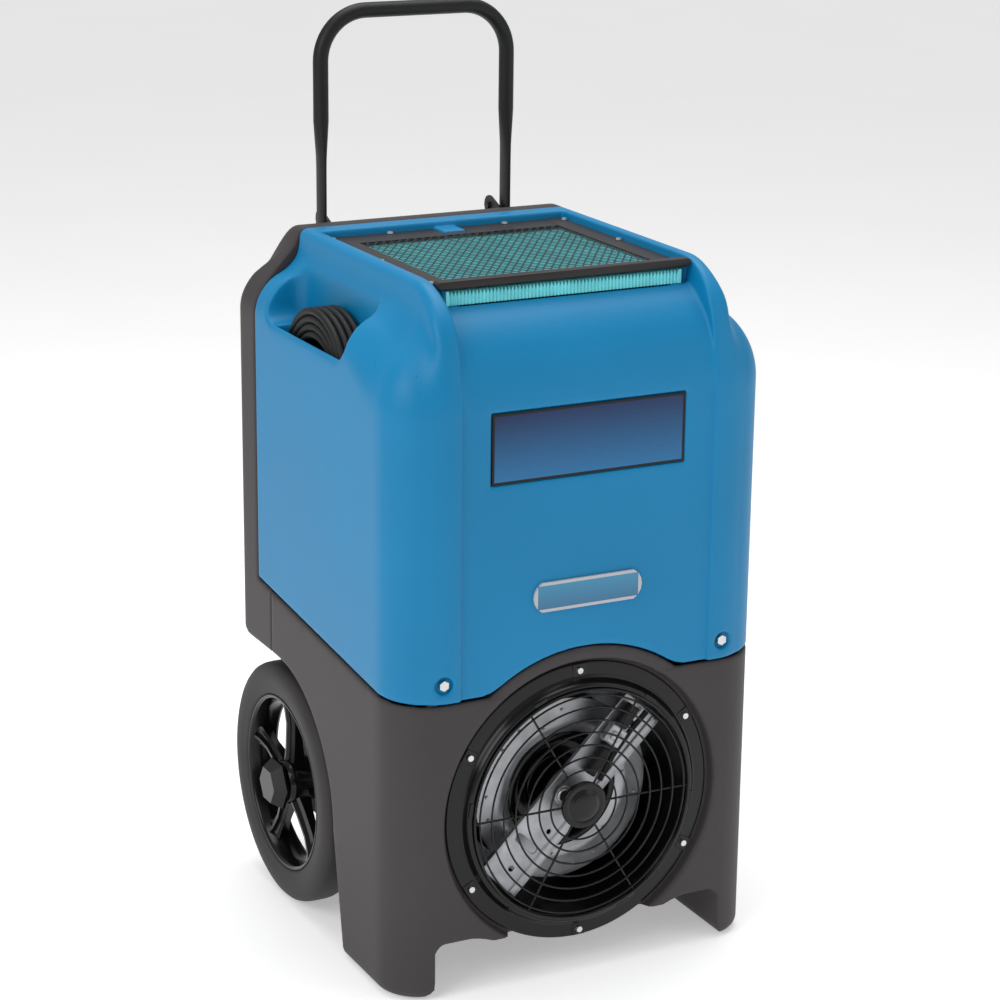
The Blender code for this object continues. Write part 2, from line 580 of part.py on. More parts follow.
for k, spot in enumerate(FRAME_SCREWS):
    head = [(0, LEDGE_Z + 0.0003), (0.0018, LEDGE_Z + 0.0003), (0.0018, FRAME_TOP + GAP),
            (0.0040, FRAME_TOP + GAP), (0.0032, FRAME_TOP + 0.0026), (0, FRAME_TOP + 0.0026)]
    put("frame_screw_%d" % (k + 1), turned(head, "Z", spot, 8), "zinc")

# ---------------------------------------------------------------- handle
def handle_rings(side_from=-1):
    rings = []
    flat = (0.0040, 0.0130)
    blend = (0.0070, 0.0112)
    legs = [(0.7935, flat), (0.8990, flat), (0.9300, blend), (0.9600, (TUBE_R, TUBE_R)),
            (HANDLE_TOP - HANDLE_BEND, (TUBE_R, TUBE_R))]
    path = []
    for z, size in legs:
        shift = -0.0007 if size[0] < TUBE_R else 0.0
        path.append((Vector((-(HANDLE_X + shift), HANDLE_Y, z)), Vector((0, 0, 1)), size))
    for k in range(1, 6):
        a = math.radians(180 - 18 * k)
        centre = Vector((-HANDLE_X + HANDLE_BEND, HANDLE_Y, HANDLE_TOP - HANDLE_BEND))
        out = Vector((math.cos(a), 0, math.sin(a)))
        path.append((centre + out * HANDLE_BEND, Vector((out.z, 0, -out.x)), (TUBE_R, TUBE_R)))
    other = []
    for spot, along, size in reversed(path):
        other.append((Vector((-spot.x, spot.y, spot.z)), Vector((along.x, 0, -along.z)), size))
    for spot, along, size in path + other:
        out = Vector((-along.z, 0, along.x))
        ring = []
        for k in range(14):
            a = 2 * math.pi * k / 14
            ring.append(spot + out * (size[0] * math.cos(a)) + Vector((0, 1, 0)) * (size[1] * math.sin(a)))
        rings.append(ring)
    return rings


handle = put("handle_tube", skin(handle_rings()), "black_steel", (0.0, HANDLE_Y, PIVOT_Z))
PLATE_X = (0.1165, 0.1195)
for side, word in ((-1, "left"), (1, "right")):
    cut(handle, rod("X", (HANDLE_Y, PIVOT_Z), 0.0043, side * 0.110, side * 0.140, 12), "pivot_hole")
    lug = arc(0.2405, 0.8330, 0.0130, -60, 110, 6) + [(0.1885, 0.8260), (0.1885, 0.7825), (0.2160, 0.7825),
                                                    (0.2160, 0.7900), (0.2300, 0.8000)]
    plate = put("handle_bracket_" + word, prism(lug, "X", side * PLATE_X[0], side * PLATE_X[1]), "black_steel")
    join(plate, rod("X", (0.2405, 0.8330), 0.0050, side * 0.1130, side * 0.1175, 6), "lock_bolt")
    cut(plate, rod("X", (HANDLE_Y, PIVOT_Z), 0.0043, side * 0.110, side * 0.140, 12), "pivot_hole")
    bolt_profile = [(0, 0.1125), (0.0066, 0.1125), (0.0066, 0.1160), (0.0038, 0.1160), (0.0038, 0.1313),
                    (0.0075, 0.1313), (0.0066, 0.1363), (0, 0.1363)]
    bolt_profile = [(r, side * x) for r, x in bolt_profile]
    put("handle_pivot_" + word, turned(bolt_profile, "X", (HANDLE_Y, PIVOT_Z), 12), "zinc")

# ---------------------------------------------------------------- wheels and axle
HUB = (WHEEL_Y, 0.1524)
put("wheel_axle", rod("X", HUB, AXLE_R, -0.2405, 0.2405, 16), "zinc")
for side, word in ((-1, "left"), (1, "right")):
    centre = (side * WHEEL_X, WHEEL_Y, 0.1524)
    section_points = [(0.1125, -0.0215), (0.1360, -TYRE_HALF), (0.1475, -0.0215), (WHEEL_R, -0.0160)]
    tread = section_points + [(r, -x) for r, x in reversed(section_points)]
    tyre = turned([(r, side * WHEEL_X + x) for r, x in tread], "X", HUB, 36)
    put("tyre_" + word, tyre, "rubber", centre)
    barrel = [(0.1050, -0.0190), (0.1120, -0.0200), (0.1120, 0.0200), (0.1050, 0.0190)]
    rim = put("rim_" + word, turned([(r, side * WHEEL_X + x) for r, x in barrel], "X", HUB, 36), "black_gloss",
              centre)
    hub = [(AXLE_R + GAP, -0.0220), (0.0300, -0.0220), (0.0300, 0.0190), (AXLE_R + GAP, 0.0190)]
    join(rim, turned([(r, side * WHEEL_X + x * side) for r, x in hub], "X", HUB, 16), "hub")
    for k in range(5):
        spoke = block((side * (WHEEL_X - 0.012), side * (WHEEL_X + 0.014)), (-0.0165, 0.0165), (0.0270, 0.1080))
        turn = Matrix.Translation((0, *HUB)) @ Matrix.Rotation(math.radians(72 * k + 14), 4, "X")
        bmesh.ops.transform(spoke, matrix=turn, verts=spoke.verts)
        join(rim, spoke, "spoke")
    cap = [(0, 0.0225), (0.0330, 0.0225), (0.0330, 0.0260), (0.0235, 0.0400), (0, 0.0400)]
    put("hub_cap_" + word, turned([(r, side * (WHEEL_X + x)) for r, x in cap], "X", HUB, 6), "black_gloss", centre)

# ---------------------------------------------------------------- refrigeration set
COMP = (-0.070, 0.018)
comp_profile = [(0, 0.0850), (0.050, 0.0850), (0.060, 0.0980), (0.060, 0.2950), (0.050, 0.3200), (0.020, 0.3290),
                (0, 0.3300)]
compressor = put("compressor", turned(comp_profile, "Z", COMP, 24), "black_steel")
join(compressor, block((-0.130, -0.010), (-0.040, 0.076), (0.0752, 0.0870)), "feet")
join(compressor, rod("Z", (0.013, 0.018), 0.0190, 0.1100, 0.2600, 12), "accumulator")
join(compressor, block((-0.020, 0.010), (0.010, 0.026), (0.180, 0.190)), "accumulator_pipe")
tube("refrigerant_line", [(-0.070, 0.018, 0.3305), (-0.070, 0.018, 0.370), (-0.100, 0.018, 0.398),
                          (-0.162, 0.018, 0.410), (-0.166, 0.014, 0.430), (-0.166, 0.010, 0.500),
                          (-0.1575, 0.010, 0.510)], 0.0040, "copper")


def finned(name, y, slot):
    """A fin-and-tube block: a comb outline seen from above, stood up."""
    outline = [(-0.150, y[0]), (0.150, y[0])]
    teeth = 14
    pitch = 0.300 / teeth
    for k in range(teeth):
        x = 0.150 - pitch * k
        outline += [(x, y[1]), (x - pitch * 0.5, y[1]), (x - pitch * 0.5, y[1] - 0.012), (x - pitch + 0.0004, y[1] - 0.012)]
    outline[-1] = (-0.150, y[1] - 0.012)
    return put(name, prism(outline, "Z", *COIL_STACK_Z), slot)


coil_a = finned("condenser", (-0.012, 0.032), "aluminium_fin")
coil_b = finned("evaporator", (0.046, 0.092), "aluminium_fin")
for piece, y in ((coil_a, 0.002), (coil_b, 0.062)):
    for z in (0.500, 0.560, 0.620, 0.680, 0.730):
        join(piece, rod("X", (y + 0.008, z), 0.0045, -0.1565, 0.1565, 8), "coil_tube")
pan = put("drain_pan", block((-0.157, 0.157), (-0.022, 0.102), (0.430, 0.4590)), "grey_plastic")
cut(pan, block((-0.154, 0.154), (-0.019, 0.099), (0.433, 0.470)), "pan_hollow")
cut(pan, rod("Z", (0.120, 0.080), 0.0060, 0.420, 0.440, 10), "pan_drain")
pump = put("condensate_pump", block((0.060, 0.140), (-0.055, 0.030), (0.0750, 0.1300)), "grey_plastic")
join(pump, rod("Z", (0.100, -0.012), 0.0240, 0.1250, 0.1800, 16), "pump_motor")
spout = [(0, 0.1800), (0.0098, 0.1800), (0.0098, 0.2003), (0.0140, 0.2003), (0.0140, 0.2060), (0.0075, 0.2080),
         (0.0075, 0.2200), (0.0090, 0.2220), (0.0070, 0.2300), (0.0050, 0.2300), (0.0050, 0.1900), (0, 0.1900)]
put("drain_outlet", turned(spout, "Y", (0.120, 0.285), 16), "black_gloss")

# ---------------------------------------------------------------- control panel on the back
panel = put("control_panel", block((-0.100, 0.100), (0.2148, 0.2172), (0.655, 0.745)), "navy_panel")
cut(panel, block((-0.075, 0.0), (0.210, 0.220), (0.700, 0.730)), "window_opening")
put("display_window", block((-0.0745, -0.0005), (0.2150, 0.2176), (0.7005, 0.7295)), "window")
for k, x in enumerate((-0.050, 0.0, 0.050)):
    cut(panel, rod("Y", (x, 0.677), 0.0085, 0.205, 0.225, 16), "button_hole")
    shape = [(0, 0.2110), (0.0100, 0.2110), (0.0100, 0.2135), (0.0080, 0.2135), (0.0080, 0.2195), (0.0070, 0.2205),
             (0, 0.2205)]
    put("button_%d" % (k + 1), turned(shape, "Y", (x, 0.677), 16), "button_grey", (x, 0.2150, 0.677))

# ---------------------------------------------------------------- power cord in the left pocket
RELIEF = (0.040, 0.700)
relief = [(0, -0.1903), (0.0100, -0.1903), (0.0100, -0.1950), (0.0070, -0.1960), (0.0070, -0.2000), (0, -0.2000)]
put("cord_relief", turned(relief, "X", RELIEF, 16), "rubber")
coil = []
for k in range(8):
    a = 2 * math.pi * (k + 0.5) / 8
    coil.append((COIL_R + COIL_HALF_R * math.cos(a), COIL_CENTRE[0] + COIL_HALF_X * math.sin(a)))
put("cord_coil", turned(coil, "X", COIL_CENTRE[1:], 32), "rubber")
path = [(-0.2004, *RELIEF), (-0.2065, *RELIEF), (-0.2115, 0.0415, 0.6965)]
for k in range(7):
    a = math.radians(-2 - 11 * k)
    r = 0.0445 + 0.0050 * min(k / 3, 1.0)
    path.append((-0.2130, r * math.cos(a), COIL_CENTRE[2] + r * math.sin(a)))
tube("power_cord", path, CORD_D / 2, "rubber", 2)
PLUG = (-0.2220, -0.0260)
plug_profile = [(0, 0.6530), (CORD_D / 2, 0.6530), (CORD_D / 2, 0.6600), (0.0070, 0.6620), (0.0090, 0.6700),
                (0.0140, 0.6740), (0.0140, 0.6980), (0, 0.6980)]
plug = put("power_plug", turned(plug_profile, "Z", PLUG, 16), "rubber")
for side in (-1, 1):
    join(plug, block((PLUG[0] - 0.0008, PLUG[0] + 0.0008), (PLUG[1] + side * 0.0064 - 0.003, PLUG[1] + side * 0.0064 + 0.003),
                     (0.690, 0.7150)), "blade")
join(plug, rod("Z", (PLUG[0] + 0.0085, PLUG[1]), 0.0024, 0.690, 0.7170, 8), "earth_pin")
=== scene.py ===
import bpy, bmesh, json, math
import numpy as np
import openvdb
from mathutils import Matrix, Vector


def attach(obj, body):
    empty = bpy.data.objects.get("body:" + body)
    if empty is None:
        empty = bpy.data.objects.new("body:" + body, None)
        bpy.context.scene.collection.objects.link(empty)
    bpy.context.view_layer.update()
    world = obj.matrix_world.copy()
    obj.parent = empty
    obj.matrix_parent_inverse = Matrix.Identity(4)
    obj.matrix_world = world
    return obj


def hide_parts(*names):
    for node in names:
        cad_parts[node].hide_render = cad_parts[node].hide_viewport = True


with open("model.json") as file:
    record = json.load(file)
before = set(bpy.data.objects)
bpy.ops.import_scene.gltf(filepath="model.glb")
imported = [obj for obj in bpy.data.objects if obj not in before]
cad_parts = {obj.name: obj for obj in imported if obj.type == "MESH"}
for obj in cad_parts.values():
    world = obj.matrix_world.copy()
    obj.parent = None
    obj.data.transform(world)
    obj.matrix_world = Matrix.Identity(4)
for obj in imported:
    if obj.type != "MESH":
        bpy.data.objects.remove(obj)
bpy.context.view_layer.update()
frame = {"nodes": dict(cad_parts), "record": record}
NODES = frame["nodes"]

# ---------------------------------------------------------------- camera
AZ, EL, ROLL = math.radians(-26.8636), math.radians(16.7134), math.radians(0.55)
back = Vector((math.sin(AZ) * math.cos(EL), -math.cos(AZ) * math.cos(EL), math.sin(EL)))
right = Vector((math.cos(AZ), math.sin(AZ), 0.0))
up = back.cross(right)
right, up = (right * math.cos(ROLL) + up * math.sin(ROLL), up * math.cos(ROLL) - right * math.sin(ROLL))
cam = bpy.data.objects.new("camera", bpy.data.cameras.new("camera"))
bpy.context.scene.collection.objects.link(cam)
turn = Matrix((right, up, back)).transposed()
cam.matrix_world = Matrix.Translation((-1.4687, -2.8940, 1.4911)) @ turn.to_4x4()
cam.data.sensor_width = 36.0
cam.data.lens = 99.72
cam.data.shift_x = 0.0124
cam.data.shift_y = 0.0013
cam.data.clip_end = 50
bpy.context.scene.camera = cam

# ---------------------------------------------------------------- sizes repeated from part.py
WALL = 0.0055
WHEEL_Y, WHEEL_Z, WHEEL_X, WHEEL_R = 0.098, 0.1524, 0.219, 0.1524
FAN_Z = 0.2125
FRONT, REAR, HALF = -0.250, 0.2175, 0.243
SHOULDER, CREST = 0.795, 0.842
CORD_D = 0.0093
HANDLE_X, HANDLE_Y, HANDLE_TOP, HANDLE_BEND, TUBE_R = 0.127, 0.216, 1.092, 0.060, 0.0095


# ---------------------------------------------------------------- helpers
def clamp01(v):
    return np.clip(v, 0.0, 1.0)


def smooth_step(v, a, b):
    t = clamp01((v - a) / (b - a))
    return t * t * (3 - 2 * t)


def meet(a, b, r):
    """Intersection with a round edge of radius r."""
    u, v = np.maximum(a + r, 0), np.maximum(b + r, 0)
    return np.minimum(np.maximum(a, b), -r) + np.sqrt(u * u + v * v)


def merge(a, b, r):
    """Union with a fillet of radius r."""
    u, v = np.maximum(r - a, 0), np.maximum(r - b, 0)
    return np.maximum(np.minimum(a, b), r) - np.sqrt(u * u + v * v)


def carve(a, b, r):
    """a without b, with a round edge of radius r."""
    return meet(a, -b, r)


def slab(v, low, high):
    return np.maximum(low - v, v - high)


def place(obj, body, *nodes):
    """Lets a piece ride a body, in the place of CAD nodes."""
    if nodes:
        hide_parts(*nodes)
    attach(obj, body)
    return obj


def field_mesh(name, lo, hi, h, field, adapt=0.0):
    """Meshes the zero surface of field(x, y, z) over a box, with cells of size h."""
    axes = [np.arange(lo[k], hi[k] + h, h, dtype=np.float32) for k in range(3)]
    x, y, z = np.meshgrid(*axes, indexing="ij", sparse=True)
    values = np.clip(field(x, y, z), -4 * h, 4 * h).astype(np.float32)
    grid = openvdb.FloatGrid(4 * h)
    grid.copyFromArray(np.ascontiguousarray(values / h))
    points, tris, quads = grid.convertToPolygons(0.0, adapt)
    points = points * h + np.array([a[0] for a in axes])
    faces = [tuple(map(int, f[::-1])) for f in tris] + [tuple(map(int, f[::-1])) for f in quads]
    mesh = bpy.data.meshes.new(name)
    mesh.from_pydata(points.tolist(), [], faces)
    mesh.update()
    mesh.shade_smooth()
    obj = bpy.data.objects.new(name, mesh)
    bpy.context.scene.collection.objects.link(obj)
    return obj


# ---------------------------------------------------------------- housing shapes
def seam_z(y):
    return 0.366 + 0.0972 * (y - FRONT)


def body_field(x, y, z, inset=0.0):
    """Outside of the whole body: upright corners, brow and shoulders."""
    ax = np.abs(x)
    side = ax - (HALF - inset)
    front = (FRONT + inset) - y
    top = z - (SHOULDER - inset)
    wall = meet(side, front, 0.055 - inset)
    wall = meet(wall, y - (REAR - inset), 0.020)
    fore = smooth_step(-y, 0.10, 0.20)
    r = 0.056 + 0.039 * fore - inset
    return meet(wall, top, r)


def rib_width(z):
    return 0.183 + 0.005 * smooth_step(-z, -0.835, -0.795)


def rim_field(x, y, z):
    """Raised rim round the filter, whose sides run over the front edge as two ribs."""
    nose = np.sqrt(np.maximum(-(y + 0.160), 0) ** 2 + np.maximum(z - 0.756, 0) ** 2) - 0.086
    cap = np.maximum(nose, z - CREST)
    return meet(np.abs(x) - rib_width(z), cap, 0.010)


def panel_field(x, y, z):
    """Front panel between the ribs, whose top comes up to the filter."""
    face = FRONT + 0.006 * (1 - smooth_step(z, 0.66, 0.72)) - y
    cap = meet(face, z - 0.8205, 0.105)
    return np.maximum(np.maximum(cap, np.abs(x) - 0.168), y + 0.1874)


def top_shape(x, y, z):
    ax = np.abs(x)
    low = body_field(x, y, z)
    ribs = np.maximum(rim_field(x, y, z), y - REAR)
    raised = merge(low, ribs, 0.022)
    panel = panel_field(x, y, z)
    channel = np.maximum(np.maximum(ax - 0.1615 - 0.10 * np.maximum(z - 0.80, 0), y - 0.130), 0.0005 - low)
    shape = carve(raised, channel, 0.003)
    shape = merge(shape, panel, 0.004)
    rail = np.maximum(np.maximum(slab(ax, 0.136, 0.165), slab(y, -0.188, 0.110)), slab(z, 0.780, 0.8120))
    ledge = np.maximum(np.maximum(slab(ax, 0.152, 0.166), slab(y, -0.176, 0.140)), slab(z, 0.780, 0.8297))
    back = np.maximum(np.maximum(ax - 0.170, slab(y, 0.105, 0.140)), slab(z, 0.779, 0.8297))
    shape = np.minimum(shape, np.minimum(rail, np.minimum(ledge, back)))
    tab = np.maximum(np.maximum(ax - 0.0145, slab(y, 0.100, 0.135)), slab(z, 0.800, 0.8350))
    return np.minimum(shape, tab)


def fan_r(x, z):
    return np.sqrt(x * x + (z - FAN_Z) ** 2)


def pocket_field(x, y, z):
    ax = np.abs(x)
    deep = np.maximum(slab(ax, 0.190, 0.2375), np.maximum(slab(y, -0.096, 0.099), 0.592 - z))
    wall = 0.1905 - ax
    mouth = meet(meet(wall, 0.739 - z, 0.006), slab(y, -0.106, 0.122), 0.020)
    return deep, mouth


def front_field(x, y, z):
    ax = np.abs(x)
    shape = top_shape(x, y, z)
    seam = np.maximum(seam_z(y) + 0.0016 - z, y - 0.1564)
    shape = meet(shape, seam, 0.0032)
    inner = body_field(x, y, z, WALL)
    deep, mouth = pocket_field(x, y, z)
    tub = np.minimum(deep, mouth) - WALL
    shape = np.maximum(shape, -np.maximum(inner, -tub))
    air = np.maximum(np.maximum(ax - 0.136, slab(y, -0.150, 0.088)), slab(z, 0.76, 0.83))
    shape = np.maximum(shape, -air)
    shape = carve(shape, mouth, 0.004)
    shape = np.maximum(shape, -deep)
    label = np.maximum(np.maximum(ax - 0.1255, slab(z, 0.6165, 0.7015)), slab(y, -0.27, -0.2470))
    shape = carve(shape, label, 0.0012)
    dimple = np.maximum(np.sqrt((ax - 0.183) ** 2 + (z - 0.390) ** 2) - 0.0105, slab(y, -0.27, -0.2472))
    shape = carve(shape, dimple, 0.003)
    arch = fan_r(x, z) - 0.1975
    arch = merge(arch, z - seam_z(FRONT), 0.012)
    arch = np.maximum(arch, y + 0.200)
    return carve(shape, arch, 0.0032)


def wheel_r(y, z):
    return np.sqrt((y - WHEEL_Y) ** 2 + (z - WHEEL_Z) ** 2)


def base_field(x, y, z):
    ax = np.abs(x)
    r = fan_r(x, z)
    wall = meet(ax - HALF, FRONT - y, 0.055)
    shape = np.maximum(wall, y - 0.200)
    lid = np.where(y < 0.1147, z - (seam_z(y) - 0.0010), z - 0.3192)
    shape = meet(shape, lid, 0.0040)
    disc = np.maximum(r - 0.1958, slab(y, FRONT, -0.233))
    shape = np.minimum(shape, meet(disc, FRONT - y, 0.004))
    inner_foot = meet(-z, 0.190 - ax, 0.022)
    shape = np.where((y < -0.094) & (z < 0.06), np.maximum(shape, np.where(ax < 0.215, inner_foot, -1.0)),
                     shape)
    outer_foot = meet(wall, -z, 0.014)
    shape = np.maximum(shape, outer_foot)
    well = np.where(y > WHEEL_Y, z - 0.3198, wheel_r(y, z) - 0.167)
    slope = (y + 0.0695) + (0.1524 - z) * 0.185
    lower = np.maximum(-slope, z - 0.1524)
    arch = np.maximum(np.minimum(well, lower), 0.185 - ax)
    shape = carve(shape, arch, 0.004)
    belly = meet(z - 0.067, 0.1890 - r, 0.018)
    belly = meet(belly, ax - 0.190, 0.012)
    behind = np.maximum(np.maximum(z - (0.052 + 0.70 * np.maximum(ax - 0.1275, 0)), ax - 0.1865), -0.094 - y)
    under = np.where(y < -0.0935, belly, behind)
    shape = carve(shape, under, 0.003)
    tub = np.maximum(meet(ax - (HALF - 0.0055), (FRONT + 0.0055) - y, 0.0495), y - 0.1945)
    tub = np.maximum(tub, 0.0745 + 0.70 * np.maximum(ax - 0.147, 0) * (y > -0.080) - z)
    tub = np.maximum(tub, -np.maximum(r - 0.1968, y + 0.2336))
    tub = np.minimum(tub, np.maximum(r - 0.1785, slab(y, -0.232, -0.0985)))
    liner = np.maximum(np.minimum(np.where(y > WHEEL_Y, z - 0.33, wheel_r(y, z) - 0.1725), lower - 0.0055),
                       0.1795 - ax)
    tub = np.maximum(tub, -liner)
    shape = np.maximum(shape, -tub)
    dish = np.maximum(r - 0.1768 - 0.25 * np.maximum(-(y + 0.2365), 0), y + 0.2365)
    shape = carve(shape, dish, 0.0035)
    shape = np.maximum(shape, -np.maximum(r - 0.1512, y + 0.226))
    axle = np.maximum(wheel_r(y, z) - 0.0086, slab(ax, 0.17, 0.195))
    return np.maximum(shape, -axle)


def rear_field(x, y, z):
    ax = np.abs(x)
    low = body_field(x, y, z)
    cap = meet(z - CREST, y - 0.2160, 0.044)
    crest = meet(ax - rib_width(z), cap, 0.010)
    shape = merge(low, crest, 0.050)
    edge = np.maximum(0.1156 - y, np.minimum(0.1576 - y, z - (seam_z(y) - 0.0006)))
    shape = meet(shape, edge, 0.0022)
    shape = meet(shape, 0.320 - z, 0.004)
    heel = np.sqrt(np.maximum(y - 0.1835, 0) ** 2 + np.maximum(0.354 - z, 0) ** 2)
    shape = np.maximum(shape, heel - 0.034)
    inner = np.maximum(body_field(x, y, z, WALL), 0.3255 - z)
    inner = np.maximum(inner, heel - 0.0285)
    shape = np.maximum(shape, -inner)
    box = np.maximum(np.maximum(slab(ax, 0.106, 0.148), 0.182 - y), slab(z, 0.7765, 0.860))
    shape = np.minimum(shape, np.maximum(box, crest + 0.0012))
    notch = np.maximum(np.maximum(slab(ax, 0.112, 0.142), 0.188 - y), 0.782 - z)
    shape = carve(shape, notch, 0.0015)
    shape = np.maximum(shape, -np.maximum(np.maximum(ax - 0.092, slab(z, 0.664, 0.736)),
                                          slab(y, 0.200, 0.24)))
    recess = np.maximum(np.maximum(ax - 0.1005, slab(z, 0.6545, 0.7455)), slab(y, 0.2145, 0.24))
    return carve(shape, recess, 0.001)


H = 0.0022
front = field_mesh("blue_housing", (-0.250, -0.258, 0.358), (0.250, 0.165, 0.850), H, front_field, 0.01)
place(front, "body", "front_housing")
base = field_mesh("grey_base", (-0.250, -0.258, -0.008), (0.250, 0.208, 0.418), H, base_field, 0.01)
place(base, "body", "base_housing")
rear = field_mesh("grey_rear", (-0.250, 0.108, 0.312), (0.250, 0.226, 0.850), H, rear_field, 0.01)
place(rear, "body", "rear_housing")


# ---------------------------------------------------------------- mesh helpers
def add_object(name, mesh, body, *nodes):
    """Links a finished mesh, lets it ride a body and puts it in the place of CAD nodes."""
    obj = bpy.data.objects.new(name, mesh)
    bpy.context.scene.collection.objects.link(obj)
    return place(obj, body, *nodes)


def finish_mesh(name, bm, smooth=35):
    bmesh.ops.recalc_face_normals(bm, faces=bm.faces)
    mesh = bpy.data.meshes.new(name)
    bm.to_mesh(mesh)
    bm.free()
    mesh.shade_smooth()
    mesh.set_sharp_from_angle(angle=math.radians(smooth))
    return mesh


def round_edges(profile, r, steps=3):
    """A closed profile with its corners rounded by up to r."""
    out = []
    n = len(profile)
    for k, (x, y) in enumerate(profile):
        p, a, b = Vector((x, y)), Vector(profile[k - 1]), Vector(profile[(k + 1) % n])
        u, v = a - p, b - p
        if u.length < 1e-6 or v.length < 1e-6:
            continue
        reach = min(r, u.length * 0.45, v.length * 0.45)
        if (abs(x) < 1e-6) or reach < 1e-5:
            out.append((p.x, p.y))
            continue
        s, e = p + u.normalized() * reach, p + v.normalized() * reach
        for m in range(steps + 1):
            t = m / steps
            q = s * (1 - t) ** 2 + p * 2 * t * (1 - t) + e * t * t
            out.append((q.x, q.y))
    return out


AXES = {"X": ((0, 1, 0), (0, 0, 1), (1, 0, 0)), "Y": ((1, 0, 0), (0, 0, 1), (0, 1, 0)),
        "Z": ((1, 0, 0), (0, 1, 0), (0, 0, 1))}


def lathe(bm, profile, axis, centre, steps=96):
    """Turns a closed (radius, height) profile about an axis. Heights are along it."""
    u, v, w = (Vector(c) for c in AXES[axis])
    base = u * centre[0] + v * centre[1]
    rings = []
    for k in range(steps):
        a = 2 * math.pi * k / steps
        out = u * math.cos(a) + v * math.sin(a)
        rings.append([bm.verts.new(base + out * r + w * h) if r > 1e-6 else None for r, h in profile])
    poles = {i: bm.verts.new(base + w * h) for i, (r, h) in enumerate(profile) if r <= 1e-6}
    n = len(profile)
    for k in range(steps):
        one, two = rings[k], rings[(k + 1) % steps]
        for i in range(n):
            j = (i + 1) % n
            if i in poles and j in poles:
                continue
            corners = [one[i] or poles.get(i), one[j] or poles.get(j), two[j] or poles.get(j),
                       two[i] or poles.get(i)]
            unique = []
            for c in corners:
                if c not in unique:
                    unique.append(c)
            if len(unique) > 2:
                bm.faces.new(unique)


def loft(bm, rings, closed=False):
    made = [[bm.verts.new(p) for p in ring] for ring in rings]
    n = len(made[0])
    pairs = list(zip(made, made[1:])) + ([(made[-1], made[0])] if closed else [])
    for one, two in pairs:
        for i in range(n):
            j = (i + 1) % n
            bm.faces.new((one[i], one[j], two[j], two[i]))
    if not closed:
        bm.faces.new(made[0][::-1])
        bm.faces.new(made[-1])


def box(bm, xs, ys, zs, turn=None):
    made = [bm.verts.new((x, y, z)) for x in xs for y in ys for z in zs]
    for f in ((0, 1, 3, 2), (4, 6, 7, 5), (0, 4, 5, 1), (2, 3, 7, 6), (0, 2, 6, 4), (1, 5, 7, 3)):
        bm.faces.new([made[i] for i in f])
    if turn is not None:
        bmesh.ops.transform(bm, matrix=turn, verts=made)
    return made


def bevel(obj, width, segments=2, angle=35):
    mod = obj.modifiers.new("edge", "BEVEL")
    mod.width = width
    mod.segments = segments
    mod.limit_method = "ANGLE"
    mod.angle_limit = math.radians(angle)
    mod.harden_normals = False


def circle_ring(bm, r, y, wire, steps=96, section=8):
    """A wire ring round the fan axis."""
    profile = [(r + wire * math.cos(2 * math.pi * k / section),
                y + wire * math.sin(2 * math.pi * k / section))
               for k in range(section)]
    lathe(bm, profile, "Y", FAN, steps)


FAN = (0.0, FAN_Z)
HUB = (WHEEL_Y, WHEEL_Z)
GUARD_Y, GUARD_FIRST, GUARD_PITCH = -0.2522, 0.0435, 0.0155
BLADES, SPOKES = 7, 5
made = {}

# ---------------------------------------------------------------- outlet collar
bm = bmesh.new()
profile = [(0.1500, -0.2368), (0.1738, -0.2368), (0.1738, -0.2388), (0.1722, -0.2396), (0.1580, -0.2402),
           (0.1545, -0.2412),
           (0.1520, -0.2450), (0.1495, -0.2492), (0.1470, -0.2500), (0.1430, -0.2500), (0.1415, -0.2470),
           (0.1415, -0.2440),
           (0.1430, -0.2300), (0.1455, -0.2050), (0.1462, -0.1500), (0.1470, -0.1000), (0.1495, -0.1000)]
lathe(bm, round_edges(profile, 0.0008, 2), "Y", FAN, 128)
for k in range(6):
    turn = Matrix.Translation((0, 0, FAN_Z)) @ Matrix.Rotation(math.radians(-(31 + 60 * k)), 4, "Y")
    box(bm, (0.1570, 0.1728), (-0.2408, -0.2390), (-0.0085, 0.0085), turn)
    box(bm, (0.1425, 0.1500), (-0.2506, -0.2440), (-0.0090, 0.0090),
        turn @ Matrix.Rotation(math.radians(-22), 4, "Y"))
made["collar"] = add_object("outlet_ring", finish_mesh("outlet_ring", bm), "body", "outlet_collar")
bevel(made["collar"], 0.0006)

# ---------------------------------------------------------------- wire guard
bm = bmesh.new()
for k in range(7):
    circle_ring(bm, GUARD_FIRST + GUARD_PITCH * k, GUARD_Y, 0.00125)
circle_ring(bm, 0.1430, GUARD_Y, 0.0017, 128)
for k in range(6):
    a = math.radians(60 * k)
    out = Vector((math.cos(a), 0, math.sin(a)))
    side = Vector((-math.sin(a), 0, math.cos(a)))
    ends = []
    for r in (0.020, 0.1440):
        ends.append([Vector((0, -0.2505, FAN_Z)) + out * r + side * 0.0014 * math.cos(t) + Vector((0,
                                                                                                   0.0014 * math.sin(t), 0))
                     for t in (2 * math.pi * m / 8 for m in range(8))])
    loft(bm, ends)
hub = [(0, -0.2495), (0.0285, -0.2495), (0.0290, -0.2535), (0.0282, -0.2548), (0.0262, -0.2556),
       (0.0225, -0.2552),
       (0.0205, -0.2546), (0.0190, -0.2556), (0.0172, -0.2558), (0.0162, -0.2566), (0.0150, -0.2572),
       (0, -0.2572)]
lathe(bm, hub, "Y", FAN, 64)
made["guard"] = add_object("wire_guard", finish_mesh("wire_guard", bm, 50), "body", "fan_guard")

